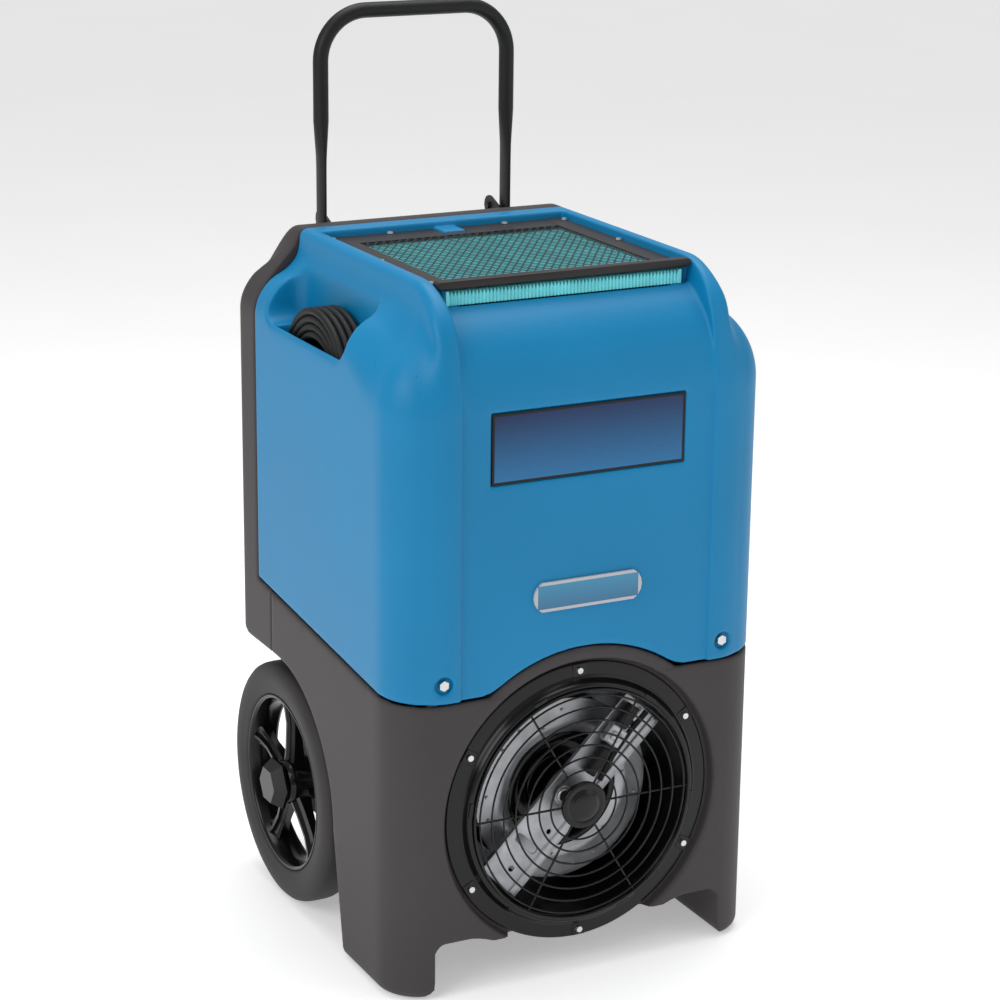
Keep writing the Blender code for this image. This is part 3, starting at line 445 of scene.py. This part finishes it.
# ---------------------------------------------------------------- motor bracket and motor lead
def strap_field(x, y, z):
    """Slanting strap with a rib, a folded lip, two slots and four holes. u is along it, v across."""
    c = math.sqrt(0.5)
    u = c * (x + (z - FAN_Z))
    v = c * ((z - FAN_Z) - x)
    plate = np.maximum(np.maximum(np.abs(u) - 0.1358, slab(v, -0.026, 0.039)), slab(y, -0.2272, -0.2250))
    rib = np.maximum(np.maximum(np.abs(u) - 0.1355, np.abs(v + 0.0175) - 0.0045), slab(y, -0.2300, -0.2262))
    lip = np.maximum(np.maximum(np.abs(u) - 0.1348, slab(v, 0.0365, 0.0390)), slab(y, -0.2310, -0.2262))
    shape = merge(merge(plate, rib, 0.0015), lip, 0.0015)
    au = np.abs(u)
    slot = np.sqrt((np.maximum(np.abs(v - 0.010) - 0.013, 0)) ** 2 + (au - 0.078) ** 2) - 0.0050
    hole = np.minimum(np.sqrt((au - 0.112) ** 2 + (v - 0.004) ** 2) - 0.0035,
                      np.sqrt((au - 0.050) ** 2 + (v + 0.004) ** 2) - 0.0030)
    shape = carve(shape, np.minimum(slot, hole), 0.0006)
    return shape


strap = field_mesh("motor_strap", (-0.142, -0.2325, FAN_Z - 0.142), (0.142, -0.2235, FAN_Z + 0.142),
                   0.0008, strap_field, 0.02)
made["strap"] = place(strap, "body", "motor_bracket")

bm = bmesh.new()
tilt = Matrix.Translation((0.0, -0.2360, FAN_Z)) @ Matrix.Rotation(math.radians(-52), 4, "Y")
box(bm, (0.0330, 0.0700), (-0.0060, 0.0050), (0.0010, 0.0130), tilt)
box(bm, (0.0690, 0.0760), (-0.0075, 0.0050), (-0.0010, 0.0150), tilt)
box(bm, (0.1000, 0.1300), (-0.0065, 0.0050), (0.0005, 0.0155), tilt)
boot = add_object("motor_lead_boot", finish_mesh("motor_lead_boot", bm), "body")
bevel(boot, 0.0022, 3)
bm = bmesh.new()
box(bm, (0.0765, 0.0990), (-0.0050, 0.0058), (-0.0045, 0.0200), tilt)
box(bm, (0.0820, 0.0930), (-0.0068, -0.0045), (0.0010, 0.0140), tilt)
clamp = add_object("motor_lead_clamp", finish_mesh("motor_lead_clamp", bm), "body")
bevel(clamp, 0.0012, 2)
bm = bmesh.new()
lathe(bm, round_edges([(0, -0.2368), (0.0075, -0.2368), (0.0085, -0.2352), (0.0115, -0.2350),
                       (0.0115, -0.2305), (0, -0.2305)], 0.0012, 3),
      "Y", (-0.0170, FAN_Z + 0.0080), 32)
bolt = add_object("strap_bolt", finish_mesh("strap_bolt", bm), "body")

# ---------------------------------------------------------------- motor, rotor and impeller
bm = bmesh.new()
motor = [(0, -0.2242), (0.0080, -0.2242), (0.036, -0.2242), (0.036, -0.2190), (0.0335, -0.2170),
         (0.0335, -0.2120), (0.0080, -0.2120),
         (0.0080, -0.1620), (0, -0.1620)]
lathe(bm, round_edges(motor, 0.0010, 2), "Y", FAN, 64)
made["motor"] = add_object("motor_stator", finish_mesh("motor_stator", bm), "body", "fan_motor")
bm = bmesh.new()
bowl = [(0.0086, -0.1680), (0.0666, -0.1680), (0.0666, -0.1968), (0.0720, -0.1968), (0.0720, -0.1990),
        (0.0695, -0.2002),
        (0.0650, -0.2000), (0.0618, -0.1965), (0.0600, -0.1900), (0.0585, -0.1840), (0.0560, -0.1800),
        (0.0480, -0.1775), (0.0400, -0.1770),
        (0.0385, -0.1800), (0.0360, -0.1818), (0.0300, -0.1820), (0.0086, -0.1820)]
lathe(bm, round_edges(bowl, 0.0012, 2), "Y", FAN, 96)
made["rotor"] = add_object("rotor_bowl", finish_mesh("rotor_bowl", bm, 50), "fan", "fan_rotor")
bm = bmesh.new()
disc = [(0.0676, -0.1965), (0.0770, -0.1965), (0.0785, -0.1972), (0.0880, -0.1972), (0.0895, -0.1965),
        (0.1080, -0.1965), (0.1135, -0.1955),
        (0.1135, -0.1938), (0.0676, -0.1938)]
lathe(bm, disc, "Y", FAN, 112)
for k in range(21):
    a = math.radians(360 / 21 * k + 5)
    r = 0.1005 if k % 3 else 0.0835
    spot = (r * math.cos(a), FAN_Z + r * math.sin(a))
    lathe(bm, [(0, -0.1990), (0.0014, -0.1988), (0.0021, -0.1979), (0.0021, -0.1960), (0, -0.1960)], "Y",
          spot, 10)
for k in range(BLADES):
    a0 = 360 / BLADES * k
    strips = []
    for m in range(9):
        r = 0.070 + m * 0.0426 / 8
        a = math.radians(a0 - 39 * m / 8)
        n = Vector((-math.sin(a), 0, math.cos(a))) * 0.0007
        p = Vector((r * math.cos(a), 0, FAN_Z + r * math.sin(a)))
        far = -0.1175 if m > 4 else -0.1120 - 0.0011 * m
        strips.append([p + n + Vector((0, -0.1950, 0)), p - n + Vector((0, -0.1950, 0)),
                       p - n + Vector((0, far, 0)), p + n + Vector((0, far, 0))])
    loft(bm, strips)
shroud = [(0.0800, -0.1040), (0.0815, -0.1040), (0.0850, -0.1080), (0.0900, -0.1120), (0.1020, -0.1160),
          (0.1160, -0.1190), (0.1160, -0.1205),
          (0.1010, -0.1176), (0.0890, -0.1138), (0.0835, -0.1092), (0.0800, -0.1060)]
lathe(bm, shroud, "Y", FAN, 96)
made["impeller"] = add_object("impeller_wheel", finish_mesh("impeller_wheel", bm, 40), "fan", "fan_impeller")

# ---------------------------------------------------------------- wheels
for side, word in ((-1, "left"), (1, "right")):
    def at(r, x):
        return (r, side * WHEEL_X + side * x)

    bm = bmesh.new()
    half = [(0.1122, 0.0192), (0.1150, 0.0212), (0.1200, 0.0216), (0.1235, 0.0228), (0.1300, 0.0239),
            (0.1370, 0.0240), (0.1430, 0.0228),
            (0.1475, 0.0205), (0.1503, 0.0175), (0.1518, 0.0130), (WHEEL_R, 0.0060), (WHEEL_R, 0.0)]
    tread = [at(r, x) for r, x in half] + [at(r, -x) for r, x in half[-2::-1]]
    lathe(bm, tread, "X", HUB, 128)
    made["tyre_" + word] = add_object("wheel_tyre_" + word, finish_mesh("wheel_tyre_" + word, bm, 60),
                                      "wheel_" + word, "tyre_" + word)
    bm = bmesh.new()
    barrel = [at(*p) for p in ((0.1060, -0.0190), (0.1118, -0.0200), (0.1118, 0.0190), (0.1105, 0.0203),
                               (0.1080, 0.0200), (0.1060, 0.0180),
                               (0.1030, 0.0060), (0.1020, -0.0040), (0.1030, -0.0140))]
    lathe(bm, round_edges(barrel, 0.0012, 2), "X", HUB, 128)
    hub = [at(*p) for p in ((0.0083, -0.0220), (0.0240, -0.0220), (0.0280, -0.0180), (0.0300, -0.0050),
                            (0.0290, 0.0120), (0.0260, 0.0190),
                            (0.0083, 0.0190))]
    lathe(bm, round_edges(hub, 0.0010, 2), "X", HUB, 64)
    for k in range(SPOKES):
        a = math.radians(14 + 72 * k)
        out, across = Vector((0, math.cos(a), math.sin(a))), Vector((0, -math.sin(a), math.cos(a)))
        axis_x = Vector((side, 0, 0))
        spot = Vector((side * WHEEL_X, WHEEL_Y, WHEEL_Z))
        rings = []
        for r, w, front_x, back_x in ((0.024, 0.0125, 0.0120, -0.0100), (0.045, 0.0105, 0.0090, -0.0080),
                                      (0.075, 0.0095, 0.0070, -0.0070),
                                      (0.095, 0.0110, 0.0090, -0.0080), (0.1045, 0.0160, 0.0120, -0.0110)):
            loop = ((-w, front_x - 0.0045), (-w + 0.0025, front_x - 0.0010), (-0.0032, front_x - 0.0010),
                    (-0.0020, front_x + 0.0030),
                    (0.0020, front_x + 0.0030), (0.0032, front_x - 0.0010), (w - 0.0025, front_x - 0.0010),
                    (w, front_x - 0.0045),
                    (w * 0.7, back_x), (-w * 0.7, back_x))
            rings.append([spot + out * r + across * p + axis_x * q for p, q in loop])
        loft(bm, rings)
    made["rim_" + word] = add_object("wheel_rim_" + word, finish_mesh("wheel_rim_" + word, bm, 40),
                                     "wheel_" + word, "rim_" + word)

# ---------------------------------------------------------------- folding handle
def handle_shape():
    """Rings of the U handle: flattened ends, round tube and two bends."""
    legs = []
    for z, size in ((0.7935, (0.0036, 0.0100)), (0.7960, (0.0040, 0.0130)), (0.8300, (0.0040, 0.0130)),
                           (0.8990, (0.0042, 0.0130)), (0.9150, (0.0050, 0.0124)), (0.9400, (0.0078, 0.0106)),
                           (0.9600, (TUBE_R, TUBE_R)), (1.0000, (TUBE_R, TUBE_R)),
                    (HANDLE_TOP - HANDLE_BEND, (TUBE_R, TUBE_R))):
        legs.append((Vector((-HANDLE_X, HANDLE_Y, z)), Vector((0, 0, 1)), size))
    for k in range(1, 17):
        a = math.radians(180 - 90 * k / 16)
        centre = Vector((-HANDLE_X + HANDLE_BEND, HANDLE_Y, HANDLE_TOP - HANDLE_BEND))
        out = Vector((math.cos(a), 0, math.sin(a)))
        legs.append((centre + out * HANDLE_BEND, Vector((out.z, 0, -out.x)), (TUBE_R, TUBE_R)))
    far = [(Vector((-p.x, p.y, p.z)), Vector((t.x, 0, -t.z)), s) for p, t, s in reversed(legs)]
    rings = []
    for spot, along, size in legs + far:
        out = Vector((-along.z, 0, along.x))
        rings.append([spot + out * (size[0] * math.cos(a)) + Vector((0, 1, 0)) * (size[1] * math.sin(a))
                      for a in (2 * math.pi * k / 32 for k in range(32))])
    return rings


bm = bmesh.new()
loft(bm, handle_shape())
made["handle"] = add_object("push_handle", finish_mesh("push_handle", bm, 60), "handle", "handle_tube")

# ---------------------------------------------------------------- filter and its frame
bm = bmesh.new()
Y0, Y1, LOW, TOP = -0.1867, 0.1035, 0.8126, 0.8286
count = 66
xs = [-0.1480 + 0.2960 * k / (2 * count) for k in range(2 * count + 1)]
ridge = [TOP - (0.0055 if k % 2 else 0.0) for k in range(len(xs))]
face = [Y0 + (0.0022 if k % 2 else 0.0) for k in range(len(xs))]
rows = []
for x, z, y in zip(xs, ridge, face):
    rows.append([bm.verts.new(p) for p in ((x, y, LOW), (x, y, z - 0.0008), (x, y + 0.0008, z), (x, Y1, z),
                                           (x, Y1, LOW))])
for one, two in zip(rows, rows[1:]):
    for i in range(5):
        j = (i + 1) % 5
        bm.faces.new((one[i], one[j], two[j], two[i]))
bm.faces.new(rows[0])
bm.faces.new(rows[-1][::-1])
for side in (-1, 1):
    box(bm, sorted((side * 0.1478, side * 0.1512)), (Y0, Y1), (LOW - 0.0001, 0.8290))
made["filter"] = add_object("pleated_filter", finish_mesh("pleated_filter", bm, 20), "filter",
                            "filter_element")

bm = bmesh.new()
FRAME_Z = (0.8318, 0.8332)
X_IN, Y_FRONT, Y_BACK = 0.1350, -0.1430, 0.0850
box(bm, (-0.1620, -X_IN), (-0.1780, 0.1290), FRAME_Z)
box(bm, (X_IN, 0.1620), (-0.1780, 0.1290), FRAME_Z)
box(bm, (-X_IN - 0.001, X_IN + 0.001), (-0.1780, Y_FRONT), (FRAME_Z[0] + 0.0002, FRAME_Z[1] - 0.0002))
for side in (-1, 1):
    box(bm, sorted((side * 0.0165, side * (X_IN + 0.001))), (Y_BACK, 0.1288),
        (FRAME_Z[0] + 0.0002, FRAME_Z[1] - 0.0002))
box(bm, (-0.0175, 0.0175), (Y_BACK, 0.0990), (FRAME_Z[0] + 0.0001, FRAME_Z[1] - 0.0001))
rows_n, pitch_x = 30, 0.0104
step = (Y_BACK - Y_FRONT) / rows_n
for k in range(1, rows_n):
    y = Y_FRONT + step * k
    box(bm, (-X_IN - 0.0005, X_IN + 0.0005), (y - 0.0006, y + 0.0006),
        (FRAME_Z[0] + 0.0006, FRAME_Z[1] - 0.0002))
for k in range(rows_n):
    y = Y_FRONT + step * k
    shift = pitch_x / 2 if k % 2 else 0.0
    x = -X_IN + pitch_x / 2 + shift
    while x < X_IN - 0.002:
        box(bm, (x - 0.0009, x + 0.0009), (y, y + step), (FRAME_Z[0] + 0.0007, FRAME_Z[1] - 0.0003))
        x += pitch_x
bar = round_edges([(-0.1892, 0.8316), (-0.1750, 0.8316), (-0.1750, 0.8412), (-0.1892, 0.8412)], 0.0022, 4)
ends = []
for x, shrink in ((-0.1632, 0.35), (-0.1618, 0.75), (-0.1595, 1.0), (0.1595, 1.0), (0.1618, 0.75),
                  (0.1632, 0.35)):
    ends.append([(x, -0.1821 + (y + 0.1821) * (0.6 + 0.4 * shrink), 0.8364 + (z - 0.8364) * shrink) for y,
                 z in bar])
loft(bm, ends)
made["frame"] = add_object("filter_grille", finish_mesh("filter_grille", bm, 30), "body", "filter_frame")

# ---------------------------------------------------------------- mains cord
COIL_Y, COIL_Z = 0.0, 0.6865
TURNS = 16
COLS = [-0.19930 - 0.00950 * k for k in range(4)]
RADII = [0.05995 + 0.00938 * k for k in range(4)]
places = []
for i, x in enumerate(COLS):
    order = RADII if i % 2 == 0 else RADII[::-1]
    places += [(x, r) for r in order]


def ease(t):
    t = min(max(t, 0.0), 1.0)
    return t * t * t * (t * (6 * t - 15) + 10)


def cord_line():
    """Leaves the gland, bends down inside the winding, makes sixteen turns and ends in the plug."""
    pts = []
    for k in range(7):
        a = math.radians(15 * k)
        pts.append((-0.2000 - 0.0280 * math.sin(a), 0.0400 + 0.0040 * k / 6,
                    0.7000 - 0.0280 * (1 - math.cos(a))))
    theta = -28.0
    while theta > -178:
        t = (-18 - theta) / 160
        r = 0.0463 + 0.0037 * ease(t * 2) + (RADII[0] - 0.0500) * ease((-120 - theta) / 58)
        x = -0.2280 + (COLS[0] + 0.2280) * ease((t - 0.15) / 0.65)
        a = math.radians(theta)
        pts.append((x, COIL_Y + r * math.cos(a), COIL_Z + r * math.sin(a)))
        theta -= 10
    for _ in range(3):
        pts = [pts[0]] + [tuple((p + 2 * q + r) / 4 for p, q, r in zip(*three)) for three in zip(pts, pts[1:],
                                                                                                 pts[2:])] + [pts[-1]]
    theta = -180.0
    leave = -61.4
    while theta > leave - 360 * TURNS + 5:
        turns = (-theta - 60) / 360
        k = int(turns)
        here = places[min(max(k - 1, 0), TURNS - 1)]
        there = places[min(k, TURNS - 1)]
        t = ease((turns - k) * 6) if k >= 1 else 1.0
        x = here[0] + (there[0] - here[0]) * t
        r = here[1] + (there[1] - here[1]) * t
        a = math.radians(theta)
        pts.append((x, COIL_Y + r * math.cos(a), COIL_Z + r * math.sin(a)))
        theta -= 10
    bend = 0.037
    reach = RADII[0] - bend
    mid_y = reach * math.cos(math.radians(leave))
    mid_z = COIL_Z + reach * math.sin(math.radians(leave))
    for m in range(11):
        a = math.radians(leave - 9.7 * m)
        x = COLS[3] + (-0.2220 - COLS[3]) * ease(m / 10)
        pts.append((x, mid_y + bend * math.cos(a), mid_z + bend * math.sin(a)))
    return pts


line = cord_line()
curve = bpy.data.curves.new("mains_cord", "CURVE")
curve.dimensions = "3D"
curve.bevel_depth = CORD_D / 2
curve.bevel_resolution = 4
curve.use_fill_caps = True
spline = curve.splines.new("POLY")
spline.points.add(len(line) - 1)
for point, p in zip(spline.points, line):
    point.co = (*p, 1.0)
cord_obj = bpy.data.objects.new("mains_cord", curve)
bpy.context.scene.collection.objects.link(cord_obj)
place(cord_obj, "body", "cord_coil", "power_cord")

# ---------------------------------------------------------------- materials
def new_material(name, colour, rough, metal=0.0, bump=None, spots=None, coat=0.0):
    """A Principled material with fine bump and a slow variation of its colour and roughness.
    bump is (scale, strength, distance); spots is (scale, amount) of the tint variation."""
    mat = bpy.data.materials.new(name)
    mat.use_nodes = True
    nt = mat.node_tree
    shader = nt.nodes["Principled BSDF"]
    shader.inputs["Metallic"].default_value = metal
    shader.inputs["Specular IOR Level"].default_value = 0.5 if metal or coat else 0.30
    shader.inputs["Coat Weight"].default_value = coat
    coords = nt.nodes.new("ShaderNodeTexCoord")
    scale, amount = spots or (6.0, 0.08)
    noise = nt.nodes.new("ShaderNodeTexNoise")
    noise.inputs["Scale"].default_value = scale
    noise.inputs["Detail"].default_value = 4.0
    nt.links.new(coords.outputs["Object"], noise.inputs["Vector"])
    ramp = nt.nodes.new("ShaderNodeValToRGB")
    ramp.color_ramp.elements[0].position = 0.30
    ramp.color_ramp.elements[1].position = 0.70
    dark = [max(c * (1 - amount), 0) for c in colour]
    light = [min(c * (1 + amount) + 0.002, 1) for c in colour]
    ramp.color_ramp.elements[0].color = (*dark, 1)
    ramp.color_ramp.elements[1].color = (*light, 1)
    nt.links.new(noise.outputs["Fac"], ramp.inputs["Fac"])
    nt.links.new(ramp.outputs["Color"], shader.inputs["Base Color"])
    span = nt.nodes.new("ShaderNodeMapRange")
    span.inputs["To Min"].default_value = max(rough - 0.06, 0.02)
    span.inputs["To Max"].default_value = min(rough + 0.06, 1.0)
    nt.links.new(noise.outputs["Fac"], span.inputs["Value"])
    nt.links.new(span.outputs["Result"], shader.inputs["Roughness"])
    if bump:
        grain = nt.nodes.new("ShaderNodeTexNoise")
        grain.inputs["Scale"].default_value = bump[0]
        grain.inputs["Detail"].default_value = 3.0
        nt.links.new(coords.outputs["Object"], grain.inputs["Vector"])
        lift = nt.nodes.new("ShaderNodeBump")
        lift.inputs["Strength"].default_value = bump[1]
        lift.inputs["Distance"].default_value = bump[2]
        nt.links.new(grain.outputs["Fac"], lift.inputs["Height"])
        nt.links.new(lift.outputs["Normal"], shader.inputs["Normal"])
    return mat


BLUE = new_material("blue_plastic", (0.0, 0.200, 0.425), 0.44, bump=(420, 0.30, 0.0006), spots=(5, 0.05))
GREY = new_material("grey_plastic", (0.046, 0.040, 0.042), 0.55, bump=(420, 0.32, 0.0006), spots=(6, 0.06))
GLOSS = new_material("gloss_black", (0.003, 0.003, 0.0033), 0.18, bump=(60, 0.04, 0.0004))
STEEL = new_material("black_powder_coat", (0.006, 0.006, 0.0065), 0.46, bump=(900, 0.35, 0.0004))
ZINC = new_material("bright_zinc", (0.60, 0.60, 0.61), 0.30, metal=1.0, spots=(80, 0.10))
GALV = new_material("galvanised", (0.42, 0.43, 0.45), 0.42, metal=0.9, spots=(35, 0.22))
FRAME = new_material("frame_coat", (0.022, 0.018, 0.018), 0.42, bump=(700, 0.2, 0.0003))
RUBBER = new_material("rubber", (0.007, 0.007, 0.007), 0.55, bump=(500, 0.2, 0.0004))
TYRE = new_material("tyre_rubber", (0.034, 0.031, 0.032), 0.62, bump=(260, 0.3, 0.0006), spots=(14, 0.14))
TEAL = new_material("filter_cloth", (0.22, 0.78, 0.82), 0.85, bump=(700, 0.6, 0.0008), spots=(30, 0.12))
NAVY = new_material("panel_navy", (0.010, 0.022, 0.085), 0.28, spots=(6, 0.2))
BADGE = new_material("badge_blue", (0.02, 0.24, 0.42), 0.30, coat=0.4)
def bordered(mat, low, border, reach):
    """Gives a plate a second colour at its lower edge and a border.
    reach is the border's width across and up, as parts of the plate."""
    nt = mat.node_tree
    shader = nt.nodes["Principled BSDF"]
    top = shader.inputs["Base Color"].links[0].from_socket
    coords = nt.nodes.new("ShaderNodeTexCoord")
    split = nt.nodes.new("ShaderNodeSeparateXYZ")
    nt.links.new(coords.outputs["Generated"], split.inputs["Vector"])
    fade = nt.nodes.new("ShaderNodeMix")
    fade.data_type = "RGBA"
    nt.links.new(split.outputs["Z"], fade.inputs["Factor"])
    fade.inputs[6].default_value = (*low, 1)
    nt.links.new(top, fade.inputs[7])
    edge = None
    for axis, width in zip(("X", "Z"), reach):
        away = nt.nodes.new("ShaderNodeMath")
        away.operation = "PINGPONG"
        away.inputs[1].default_value = 0.5
        nt.links.new(split.outputs[axis], away.inputs[0])
        inside = nt.nodes.new("ShaderNodeMath")
        inside.operation = "LESS_THAN"
        inside.inputs[1].default_value = width
        nt.links.new(away.outputs[0], inside.inputs[0])
        if edge is not None:
            both = nt.nodes.new("ShaderNodeMath")
            both.operation = "MAXIMUM"
            nt.links.new(edge, both.inputs[0])
            nt.links.new(inside.outputs[0], both.inputs[1])
            edge = both.outputs[0]
        else:
            edge = inside.outputs[0]
    paint = nt.nodes.new("ShaderNodeMix")
    paint.data_type = "RGBA"
    nt.links.new(edge, paint.inputs["Factor"])
    nt.links.new(fade.outputs[2], paint.inputs[6])
    paint.inputs[7].default_value = (*border, 1)
    nt.links.new(paint.outputs[2], shader.inputs["Base Color"])


bordered(NAVY, (0.02, 0.16, 0.36), (0.004, 0.004, 0.006), (0.012, 0.035))
bordered(BADGE, (0.01, 0.12, 0.26), (0.45, 0.46, 0.48), (0.035, 0.10))
COPPER = new_material("copper", (0.80, 0.38, 0.20), 0.30, metal=1.0)
FINS = new_material("aluminium_fins", (0.75, 0.76, 0.78), 0.40, metal=1.0)
BUTTON = new_material("button_grey", (0.30, 0.31, 0.32), 0.50)
WINDOW = new_material("display", (0.01, 0.02, 0.02), 0.10)
SLOTS = {"blue_plastic": BLUE, "grey_plastic": GREY, "black_gloss": GLOSS, "black_steel": STEEL, "zinc": ZINC,
         "galvanised": GALV, "rubber": RUBBER, "tyre": TYRE, "teal_mesh": TEAL, "navy_panel": NAVY,
         "badge": BADGE,
         "copper": COPPER, "aluminium_fin": FINS, "button_grey": BUTTON, "window": WINDOW}
for part in frame["record"]["subparts"]:
    obj = NODES[part["node"]]
    obj.data.materials.clear()
    obj.data.materials.append(SLOTS[part["material_slot"]])
for obj, mat in ((front, BLUE), (base, GREY), (rear, GREY), (made["collar"], GLOSS), (made["guard"], GLOSS),
                 (made["strap"], GALV),
                 (made["motor"], STEEL), (made["rotor"], GLOSS), (made["impeller"], GALV),
                 (made["tyre_left"], TYRE),
                 (made["tyre_right"], TYRE), (made["rim_left"], GLOSS), (made["rim_right"], GLOSS),
                 (made["handle"], STEEL),
                 (boot, RUBBER), (clamp, GALV), (bolt, ZINC), (made["filter"], TEAL), (made["frame"], FRAME),
                 (cord_obj, RUBBER)):
    obj.data.materials.append(mat)
for name in ("hub_cap_left", "hub_cap_right", "handle_bracket_left", "handle_bracket_right",
             "front_bolt_left", "front_bolt_right",
             "label_panel", "badge_plate", "control_panel", "cord_relief", "power_plug"):
    bevel(NODES[name], 0.0008, 3)
for name in NODES:
    if "screw" in name or "pivot" in name:
        bevel(NODES[name], 0.0004, 2)

# ---------------------------------------------------------------- floor and light
floor_mesh = bpy.data.meshes.new("floor")
floor_mesh.from_pydata([(-12, -12, 0), (12, -12, 0), (12, 12, 0), (-12, 12, 0)], [], [(0, 1, 2, 3)])
floor = bpy.data.objects.new("floor", floor_mesh)
bpy.context.scene.collection.objects.link(floor)
floor.location.z = -0.0006
floor_mesh.materials.append(new_material("floor_pale", (0.92, 0.92, 0.92), 0.9, spots=(2, 0.01)))
glow = floor_mesh.materials[0].node_tree.nodes["Principled BSDF"]
glow.inputs["Emission Color"].default_value = (1, 1, 1, 1)
glow.inputs["Emission Strength"].default_value = 0.35


def area_light(name, spot, aim, size, power):
    lamp = bpy.data.lights.new(name, "AREA")
    lamp.shape = "RECTANGLE"
    lamp.size, lamp.size_y = size
    lamp.energy = power
    obj = bpy.data.objects.new(name, lamp)
    bpy.context.scene.collection.objects.link(obj)
    obj.location = spot
    obj.rotation_euler = (Vector(aim) - Vector(spot)).to_track_quat("-Z", "Y").to_euler()
    return obj


area_light("key", (-3.0, -1.2, 2.4), (0, 0, 0.5), (2.2, 2.2), 46)
area_light("top", (0.3, 0.4, 3.2), (0, 0, 0.4), (2.4, 2.4), 58)
area_light("fill", (2.4, -2.6, 1.4), (0, 0, 0.4), (1.6, 2.2), 9)
world = bpy.data.worlds.new("studio")
world.use_nodes = True
world.node_tree.nodes["Background"].inputs["Color"].default_value = (1, 1, 1, 1)
world.node_tree.nodes["Background"].inputs["Strength"].default_value = 0.46
bpy.context.scene.world = world
bpy.context.scene.view_settings.view_transform = "Standard"
